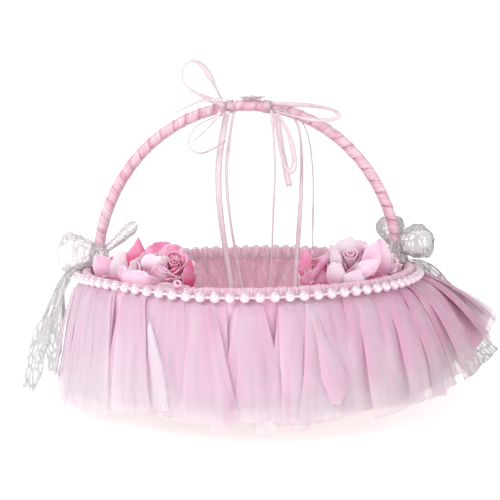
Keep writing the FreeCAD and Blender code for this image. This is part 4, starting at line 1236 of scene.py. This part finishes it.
        grades = {"tint": shade, "rim": lambda u, v: (1 - v) * radius}
        add_sheet(bm, 40, 8, core, (radius * 4, radius), grades)
        foot = Vector((middle.x, middle.y, self.base_height))
        neck = middle - turn @ Vector((0, 0, 0.55 * radius))

        def calyx(u, v):
            """Cup under the petals, which carries the rose on the rim."""
            return (foot.lerp(neck, v) + polar(radius * (0.3 + 0.42 * v), math.tau * u)) * mm

        grades = {"tint": lambda u, v: 0.5, "rim": lambda u, v: edge_width}
        add_sheet(bm, 20, 5, calyx, (20, 12), grades)

    def cup(self, bm, middle, turn, direction, shape, tint, seed):
        """Petal that lies on a ball round the middle, and opens at its rim."""
        radius, opening, wide, flare = shape
        low = math.radians(25)  # where it starts, from the bottom of the ball

        def place(u, v):
            side = 2 * u - 1
            wave = waver(u * 3.4, v * 1.5, seed)
            fall = low + (opening - low) * v * (1 - 0.13 * side * side * v)
            half = wide * (0.45 + 0.55 * math.sin(0.5 * math.pi * min(1.0, v / 0.6)))
            half *= 1 - 0.4 * max(0.0, (v - 0.55) / 0.45) ** 2.2
            lip = max(0.0, (v - 0.72) / 0.28) ** 2
            reach = radius * (1 + 0.05 * side * side) + flare * lip * (1 + 1.6 * wave)
            reach += 0.7 * wave * (0.3 + v)
            angle = direction + side * half / max(0.45, math.sin(min(fall, 2.2))) * 0.9
            at = polar(reach * math.sin(fall), angle, -reach * math.cos(fall))
            return (middle + turn @ at) * mm

        def shade(u, v):
            return tint + 0.85 * (1 - ease(v * 1.15)) * (0.55 + 0.45 * tint) - 0.1 * ease(v * 5 - 4)

        def rim(u, v):
            return min(1 - v, (1 - abs(2 * u - 1)) * 0.7) * radius * 1.6

        add_sheet(bm, 11, 12, place, (radius * 1.6, radius * 1.6), {"tint": shade, "rim": rim})

    def petal(self, bm, seed, middle, heading, lean, roll, half, tall, cup, curl, tint, point):
        """Single petal that faces its heading; its lower end is narrow."""
        turn = turned(heading, lean, roll)
        middle = Vector(middle)

        def place(u, v):
            side, rise = 2 * u - 1, 2 * v - 1
            wide = half * (0.5 + 0.5 * math.sin(0.5 * math.pi * min(1.0, (v + 0.05) / 0.6)))
            wide *= 1 - (0.38 + 0.5 * point) * max(0.0, (v - 0.5) / 0.5) ** (2.4 - point)
            lip = max(0.0, (v - 0.78) / 0.22) ** 2
            wave = waver(u * 2.0, v * 1.6, seed)
            depth = 1.25 * cup * (1 - 0.9 * side * side) * (1 - 0.55 * rise * rise)
            frill = waver(u * 4.2, v * 1.2, seed + 5)
            depth += 1.3 * wave * (0.4 + v) + 1.3 * frill * v * v - 0.6 * cup * max(0.0, -rise) ** 2
            depth += 1.4 * curl * lip * (1 - 0.5 * side * side) + 0.8 * curl * side ** 4 * v
            lift = tall * (rise - (0.16 + 0.2 * point) * side * side * ease(v * 1.4 - 0.2))
            lift += 1.1 * waver(u * 3.6, seed, 2) * v
            return (middle + turn @ Vector((side * wide, -depth, lift))) * mm

        def shade(u, v):
            return tint + 0.45 * (1 - ease(v * 1.5)) * (0.35 + 0.65 * tint) - 0.08 * ease(v * 5 - 4)

        def rim(u, v):
            return min((1 - v) * 2 * tall, (1 - abs(2 * u - 1)) * half, edge_width)

        add_sheet(bm, 12, 13, place, (2 * half, 2 * tall), {"tint": shade, "rim": rim})

    def roll(self, bm, start, run, length, reach, tint, seed):
        """Petal rolled into a loose tube."""
        start, run = Vector(start), Vector(run)
        ahead = run.normalized()
        side = ahead.cross(backwards).normalized()
        other = ahead.cross(side)

        def place(u, v):
            angle = math.tau * 1.6 * u + seed
            size = reach * (0.55 + 0.45 * u) * (0.75 + 0.25 * math.sin(math.pi * (0.2 + 0.7 * v)))
            at = start + ahead * length * (v - 0.06 * u)
            return (at + side * size * math.cos(angle) + other * size * math.sin(angle)) * mm

        grades = {
            "tint": lambda u, v: tint + 0.3 * (1 - u) * (1 - v),
            "rim": lambda u, v: (1 - v) * length,
        }
        add_sheet(bm, 22, max(4, int(length / 1.6)), place, (8, length), grades)


class BASKET_OT_lace_bows(bpy.types.Operator):
    """Lace bow at each foot of the handle"""

    bl_idname = "basket.lace_bows"
    bl_label = "Lace Bows"

    # side; start and tip as outwards from the handle, Y and height over the band; half height at
    # the start, the middle and the tip; half depth, how square, crumple; millimetres
    loops = {
        "lace_left_loop_outer": (-1, (2.6, -3, 8.2), (25.4, -6, 9.6), (6.5, 12.4, 10.5), 8.0, 0.5, 2.1),
        "lace_left_loop_inner": (-1, (-5.2, 1, 10.5), (-25.6, 1, 28.2), (2.2, 3.6, 4.6), 4.2, 0.9, 0.7),
        "lace_right_loop_outer": (1, (1.0, -3, 12.0), (23.0, -6, 14.8), (7.5, 11.4, 9.0), 8.0, 0.65, 2.0),
        "lace_right_loop_inner": (1, (-0.5, 10, 11), (-3.6, 13.4, 30.0), (4.5, 9.5, 9.0), 5.0, 0.9, 0.8),
    }
    # side; points as outwards from the handle, Y and share of the way down; widths; leans
    tails = {
        "lace_left_tail_front": (
            -1, [(6.3, -7, 0.0), (18.6, -9, 0.012), (27.1, -13, 0.23), (37.1, -18, 0.593),
                 (45.1, -20, 0.97)], (10, 14, 16, 17, 14), (0, 20, 45, 52, 50),
        ),
        "lace_left_tail_back": (
            -1, [(6.5, 5, 0.0), (18.6, 7, 0.012), (28.1, 12, 0.255), (34.1, 17, 0.569),
                 (39.1, 20, 0.954)], (9, 13, 16, 17, 16), (0, 15, 35, 50, 50),
        ),
        "lace_right_tail": (
            1, [(6.3, 5, 0.0), (18.6, 8, 0.012), (32.1, 13, 0.207), (41.0, 16, 0.43), (47.0, 16, 0.64),
                (53.0, 15.5, 0.79), (64.0, 14, 0.92)], (9, 13, 16, 21, 25, 27, 27),
            (0, 30, 45, 60, 75, 85, 88),
        ),
    }
    lace_width = 26  # of the lace of the loops before it is gathered, in millimetres

    def execute(self, context):
        sizes, colours = context.scene.basket_sizes, context.scene.basket_colours
        lace = lace_finish("white lace", colours.lace, 0.5)
        # painted shade: the ends are a darker copy of the same lace
        ends = lace_finish("lace ends", darker(colours.lace, 0.77), 0.55, 2.6, 4.5, 0.9, 0.35)
        top = sizes.band_top / mm
        for seed, (name, (side, *corners, halves, deep, square, crumple)) in enumerate(
            self.loops.items()
        ):
            start, tip = (Vector((side * (handle_reach + x), y, top + z)) for x, y, z in corners)
            self.puff(name, start, tip, halves, deep, square, crumple, lace, seed)
        for seed, (name, (side, points, widths, leans)) in enumerate(self.tails.items()):
            start, end = top + 1.4, 4.2
            line = [
                Vector((side * (handle_reach + out), y, start - (start - end) * fall)) * mm
                for out, y, fall in points
            ]
            self.ruffle(name, line, widths, leans, ends, 10 + seed)
        handle = handle_line()
        up_the_leg, knot_length = 15 * mm / handle.length, 14
        for name, share in (("lace_left_knot", up_the_leg), ("lace_right_knot", 1 - up_the_leg)):

            def place(u, v):
                turn = math.tau * u
                low_end = v if share > 0.5 else 1 - v
                reach = 4.3 + 1.5 * math.sin(math.pi * v) + 3.6 * low_end ** 3
                reach += 0.5 * math.sin(9 * turn + 4 * v) + 1.1 * waver(u * 6, v * 3, 1)
                return round_handle(handle, share, turn, reach * mm, (v - 0.5) * knot_length * mm)

            bm = bmesh.new()
            add_sheet(bm, 60, 14, place, (50, 18))
            join_seams(bm, outward=False)
            wrap = new_piece(name + "_turn", bm, lace, [name])
        return {"FINISHED"}

    def puff(self, name, start, tip, halves, deep, square, crumple, lace, seed):
        """Crumpled loop of lace, gathered at the knot and closed at its tip."""
        axis = tip - start
        ahead = axis.normalized()
        up = ahead.cross(backwards).normalized()
        if up.z < 0:
            up = -up

        def place(u, v):
            turn = math.radians(115 + 310 * u)
            across, out = math.cos(turn), math.sin(turn)
            half = spread(halves, v) * math.sqrt(max(0.0, 1 - max(0.0, (v - 0.72) / 0.28) ** 2.4))
            thick = deep * math.sin(math.pi * (0.12 + 0.84 * v)) ** 0.8
            broad = waver(across * 1.7, out * 1.7, v * 3 + seed * 5)
            fine = waver(across * 4.5, out * 4.5, v * 8 + seed * 5)
            fold = 0.5 - 1.6 * abs(waver(across * 2.6, v * 3.5, seed * 3.0))
            grow = crumple * (broad + 0.5 * fine + fold + 0.3 * math.sin(7 * turn + seed) * (1.2 - v))
            half, thick = half + grow * min(1.0, half / 3), thick + grow
            slide = axis.length * v + 0.7 * crumple * broad
            squared = math.copysign(abs(across) ** square, across)
            return (start + ahead * slide + up * half * squared + backwards * thick * out) * mm

        bm = bmesh.new()
        around = 3.612 * math.hypot(max(halves), deep)
        add_sheet(bm, 46, 26, place, (1.3 * around, 1.2 * axis.length))
        piece = new_piece(name + "_net", bm, lace, [name])

    def ruffle(self, name, points, widths, leans, lace, seed):
        """Gathered strip of lace along its route."""
        line = Line(smooth_line(name + "_route", points))

        def place(u, v):
            side, lift = strip_across(line, v, spread(leans, v))
            wave = math.sin(2 * math.tau * u + 2.5 * math.sin(5 * v + seed))
            wave += 0.8 * waver(u * 4, v * 7, seed)
            drift = waver(v * 8, u * 3, seed + 0.5)
            swell = 1.6 * mm * ease(v * 4)
            across = (u - 0.5) * spread(widths, v) * mm + drift * swell
            return line.at(v) + side * across + lift * wave * swell

        bm = bmesh.new()
        width = sum(widths) / len(widths)
        rows = max(24, int(line.length / (1.5 * mm)))
        add_sheet(bm, 18, rows, place, (1.6 * width, 1.3 * line.length / mm))
        piece = new_piece(name + "_net", bm, lace, [name])


class BASKET_OT_ribbon_bows(bpy.types.Operator):
    """Narrow satin bows at the two sides of the handle's top"""

    bl_idname = "basket.ribbon_bows"
    bl_label = "Ribbon Bows"

    # points from the knot in millimetres, share of the width at both ends, leans
    loops = {
        "ribbon_left_loop_upper": (
            [(-4.1, 0, 1.9), (-9.0, -2, 12.1), (-17.0, -4, 27.1), (-25.8, -5, 29.6),
             (-31.2, -5, 21.5), (-28.3, -4, 12.3), (-18.0, -2, 6.5), (-4.3, -1, 0.3)],
            (1, 1), (8, 18, 62, 34, 12, 8, 18, 46, 56),
        ),
        "ribbon_left_end": (
            [(-4.3, -3.8, 3.5), (-14.5, -5.4, 4.5), (-23.5, -5.6, 1.7), (-34.0, -5.6, -3.9)],
            (0.8, 1), (50, 24, 6),
        ),
        "ribbon_left_loop_lower": (
            [(-2.5, -3.6, -4.7), (-19.0, -4, -9.9), (-28.1, -5, -20.9), (-25.1, -5, -29.3),
             (-15.8, -5, -31.3), (-3.1, -3.8, -22.9)],
            (1, 1), (30, 6, 4, 6, 10, 6),
        ),
        "ribbon_left_curl": (
            [(-6.0, -7.4, -3.7), (-12.0, -7.4, -13.9), (-23.0, -7.4, -21.9)],
            (1, 0.75), (44, 14, 6),
        ),
        "ribbon_right_loop_side": (
            [(4.1, 0.2, 1.6), (18.5, -2, 0.6), (33.5, -3, -0.8), (45.5, -4, -4.0),
             (47.7, -4, -8.2), (38.5, -4, -10.2), (20.5, -3.8, -8.2), (4.5, -2.4, -3.2)],
            (1, 1), (30, 44, 30, 20, 34, 48, 20, 12),
        ),
        "ribbon_right_loop_down": (
            [(6.1, -6.3, -3.2), (14.5, -6.6, -18.6), (18.2, -7, -35.6), (15.9, -7, -43.4),
             (12.1, -7, -42.0), (8.1, -6.6, -26.6), (3.7, -6.3, -4.0)],
            (1, 1), (16, 30, 44, 50, 40, 30, 20),
        ),
    }
    # middle of each knot in millimetres, and the seed of its creases
    knots = {"left": (Vector((-10.5, -6.0, 189.9)), 3.0), "right": (Vector((13.5, -6.0, 189.55)), 8.0)}

    def execute(self, context):
        sizes = context.scene.basket_sizes
        satin = bpy.data.materials["ribbon satin"]
        for seed, (name, (points, shares, leans)) in enumerate(self.loops.items()):
            knot = self.knots[name.split("_")[1]][0]
            line = Line(smooth_line(name + "_route", [(knot + Vector(p)) * mm for p in points]))
            widths = [share * sizes.ribbon_width for share in shares]
            bm = bmesh.new()
            add_ribbon(bm, line, widths, leans, 0.3 * mm, 0.4 * mm, 20 + seed)
            piece = new_piece(name + "_ribbon", bm, satin, [name])
            thicken(piece, 0.22 * mm)
            # a flat side is 10 mm or more, so the narrow ribbon is given as wider and shorter
            max(0.01, sizes.ribbon_width)
        handle = handle_line()
        steps = 399
        for side, (knot, seed) in self.knots.items():
            centre = knot * mm

            def lump(u, v):
                """Tied lump: a soft barrel creased round its middle."""
                turn = math.tau * u
                along = 2 * v - 1
                size = 1 - 0.12 * math.exp(-((along / 0.18) ** 2)) * (1 + math.cos(turn))
                size += 0.12 * waver(u * 5, v * 3, seed)
                size *= math.sqrt(max(0.0, 1 - abs(along) ** 2.6))
                around = (1.5 * size * math.cos(turn), 2.5 * size * math.sin(turn))
                return centre + Vector((2.6 * along, *around)) * mm

            bm = bmesh.new()
            add_sheet(bm, 28, 14, lump, (15, 7))
            share = min(range(steps + 1), key=lambda i: abs(handle.at(i / steps).x - centre.x)) / steps

            def turn_round(u, v):
                """Turn of ribbon round the wrapped handle, rounded at its edges."""
                turn, section = math.tau * u, math.tau * v
                reach = 4.15 + 0.22 * math.sin(section)
                along = 2.3 * math.cos(section) + 0.5 * math.sin(2 * turn)
                return round_handle(handle, share, turn, reach * mm, along * mm)

            add_sheet(bm, 40, 12, turn_round, (27, 10))
            join_seams(bm)
            name = "ribbon_" + side
            new_piece(name + "_tie", bm, satin, [name + "_knot"])
        return {"FINISHED"}


class BASKET_OT_top_flower(bpy.types.Operator):
    """Small organza flower between the two bows"""

    bl_idname = "basket.top_flower"
    bl_label = "Top Flower"

    def execute(self, context):
        organza = organza_finish("organza", paint(238, 230, 236))
        centre = Vector((4.2, 0, 194.3))
        bm = bmesh.new()
        count = 7
        for i in range(count):
            angle = math.tau * (i + 0.25) / count
            seed = random.Random(70 + i).uniform(0, 50)

            def place(u, v):
                side = 2 * u - 1
                half = (0.7 + 2.9 * math.sin(math.pi * min(1.0, v * 0.85))) * side
                reach = 0.9 + 7.4 * v - 0.6 * side * side * v
                lift = 0.1 + 1.5 * v * v + 1.1 * waver(u * 3, v * 3, seed) * v
                lift += 0.35 * side * side * v
                across = polar(half, angle + math.pi / 2)
                return (centre + polar(reach, angle, max(0.1, lift)) + across) * mm

            add_sheet(bm, 8, 8, place, (5, 7), {"rim": lambda u, v: ease(3 * v - 2)})
        nodes = sorted(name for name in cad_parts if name.startswith("top_flower_"))
        petals = [name for name in nodes if "petal" in name]
        beads = [name for name in nodes if name not in petals]
        piece = new_piece("organza_flower", bm, organza, petals)
        thicken(piece, 0.15 * mm)
        # one large bead, and a ring of small ones: radius, faces round it, place from the centre
        rows = [(1.6, 20, 14, Vector((0, 0, 1.3)))]
        rows += [(0.5, 10, 8, polar(2.1, math.tau * i / 9, 0.55)) for i in range(9)]
        bm = bmesh.new()
        for radius, across, down, away in rows:
            place = Matrix.Translation((centre + away) * mm)
            bmesh.ops.create_uvsphere(
                bm, u_segments=across, v_segments=down, radius=radius * mm, matrix=place
            )
        pearl = bpy.data.materials["pearl lustre"]
        new_piece("flower_beads", bm, pearl, beads)
        return {"FINISHED"}


class BASKET_OT_stage(bpy.types.Operator):
    """White floor and soft studio light"""

    bl_idname = "basket.stage"
    bl_label = "Stage"

    def execute(self, context):
        scene = context.scene
        bm = bmesh.new()
        bmesh.ops.create_circle(bm, cap_ends=True, segments=96, radius=6.0)
        bmesh.ops.recalc_face_normals(bm, faces=bm.faces)
        # a single face can be turned either way, and this one faces up
        for face in bm.faces:
            if face.normal.z < 0:
                face.normal_flip()
        mesh = bpy.data.meshes.new("floor")
        bm.to_mesh(mesh)
        bm.free()
        paper = Finish("white paper", Roughness=0.9, Specular_IOR_Level=0.0)
        grain = paper.cloud(paper.place(), 90, 3)
        paper.put("Base Color", paper.blend(grain, (0.93, 0.93, 0.93), (0.96, 0.96, 0.96)))
        paper.put("Emission Color", (1.0, 1.0, 1.0))
        paper.put("Emission Strength", 0.6)
        mesh.materials.append(paper.material)
        floor = bpy.data.objects.new("floor", mesh)
        scene.collection.objects.link(floor)
        world = bpy.data.worlds.new("soft room")
        world.use_nodes = True
        nodes, links = world.node_tree.nodes, world.node_tree.links
        room, backdrop = nodes["Background"], nodes.new("ShaderNodeBackground")
        mix = nodes.new("ShaderNodeMixShader")
        for key, (light, strength) in enumerate(((room, 0.55), (backdrop, 1.05)), 1):
            light.inputs["Color"].default_value = (1.0, 1.0, 1.0, 1.0)
            light.inputs["Strength"].default_value = strength
            links.new(light.outputs[0], mix.inputs[key])
        links.new(nodes.new("ShaderNodeLightPath").outputs["Is Camera Ray"], mix.inputs[0])
        links.new(mix.outputs[0], nodes["World Output"].inputs["Surface"])
        scene.world = world
        aim = Vector((0, 0, 0.09))
        for name, place, size, power in (
            ("key_light", (-0.75, -0.85, 0.95), 0.7, 9.0),
            ("fill_light", (0.9, -0.9, 0.55), 0.9, 3.0),
            ("back_light", (-0.3, 1.0, 1.0), 0.8, 4.0),
        ):
            data = bpy.data.lights.new(name, "AREA")
            data.size = size
            data.energy = power
            lamp = bpy.data.objects.new(name, data)
            lamp.location = place
            lamp.rotation_euler = (aim - Vector(place)).to_track_quat("-Z", "Y").to_euler()
            scene.collection.objects.link(lamp)
        scene.view_settings.view_transform = "Standard"
        scene.cycles.transparent_max_bounces = 48
        return {"FINISHED"}


class BASKET_PT_panel(bpy.types.Panel):
    """Lists the steps that dress the basket"""

    bl_idname = "BASKET_PT_panel"
    bl_label = "Flower Girl Basket"
    bl_space_type = "VIEW_3D"
    bl_region_type = "UI"
    bl_category = "Basket"

    def draw(self, context):
        column = self.layout.column()
        for step in steps:
            column.operator(step.bl_idname)
        for group in (context.scene.basket_sizes, context.scene.basket_colours):
            box = self.layout.box()
            for name in type(group).__annotations__:
                box.prop(group, name)


steps = (
    BASKET_OT_camera,
    BASKET_OT_ribbon_tails,
    BASKET_OT_base,
    BASKET_OT_rim,
    BASKET_OT_lining,
    BASKET_OT_handle,
    BASKET_OT_tulle,
    BASKET_OT_roses,
    BASKET_OT_lace_bows,
    BASKET_OT_ribbon_bows,
    BASKET_OT_top_flower,
    BASKET_OT_stage,
)
classes = (BasketSizes, BasketColours, *steps, BASKET_PT_panel)


def register():
    for item in classes:
        bpy.utils.register_class(item)
    bpy.types.Scene.basket_sizes = bpy.props.PointerProperty(type=BasketSizes)
    bpy.types.Scene.basket_colours = bpy.props.PointerProperty(type=BasketColours)


def unregister():
    del bpy.types.Scene.basket_colours
    del bpy.types.Scene.basket_sizes
    for item in reversed(classes):
        bpy.utils.unregister_class(item)


def main():
    register()
    for step in steps:
        group, name = step.bl_idname.split(".")
        getattr(getattr(bpy.ops, group), name)()


if __name__ == "__main__":
    main()
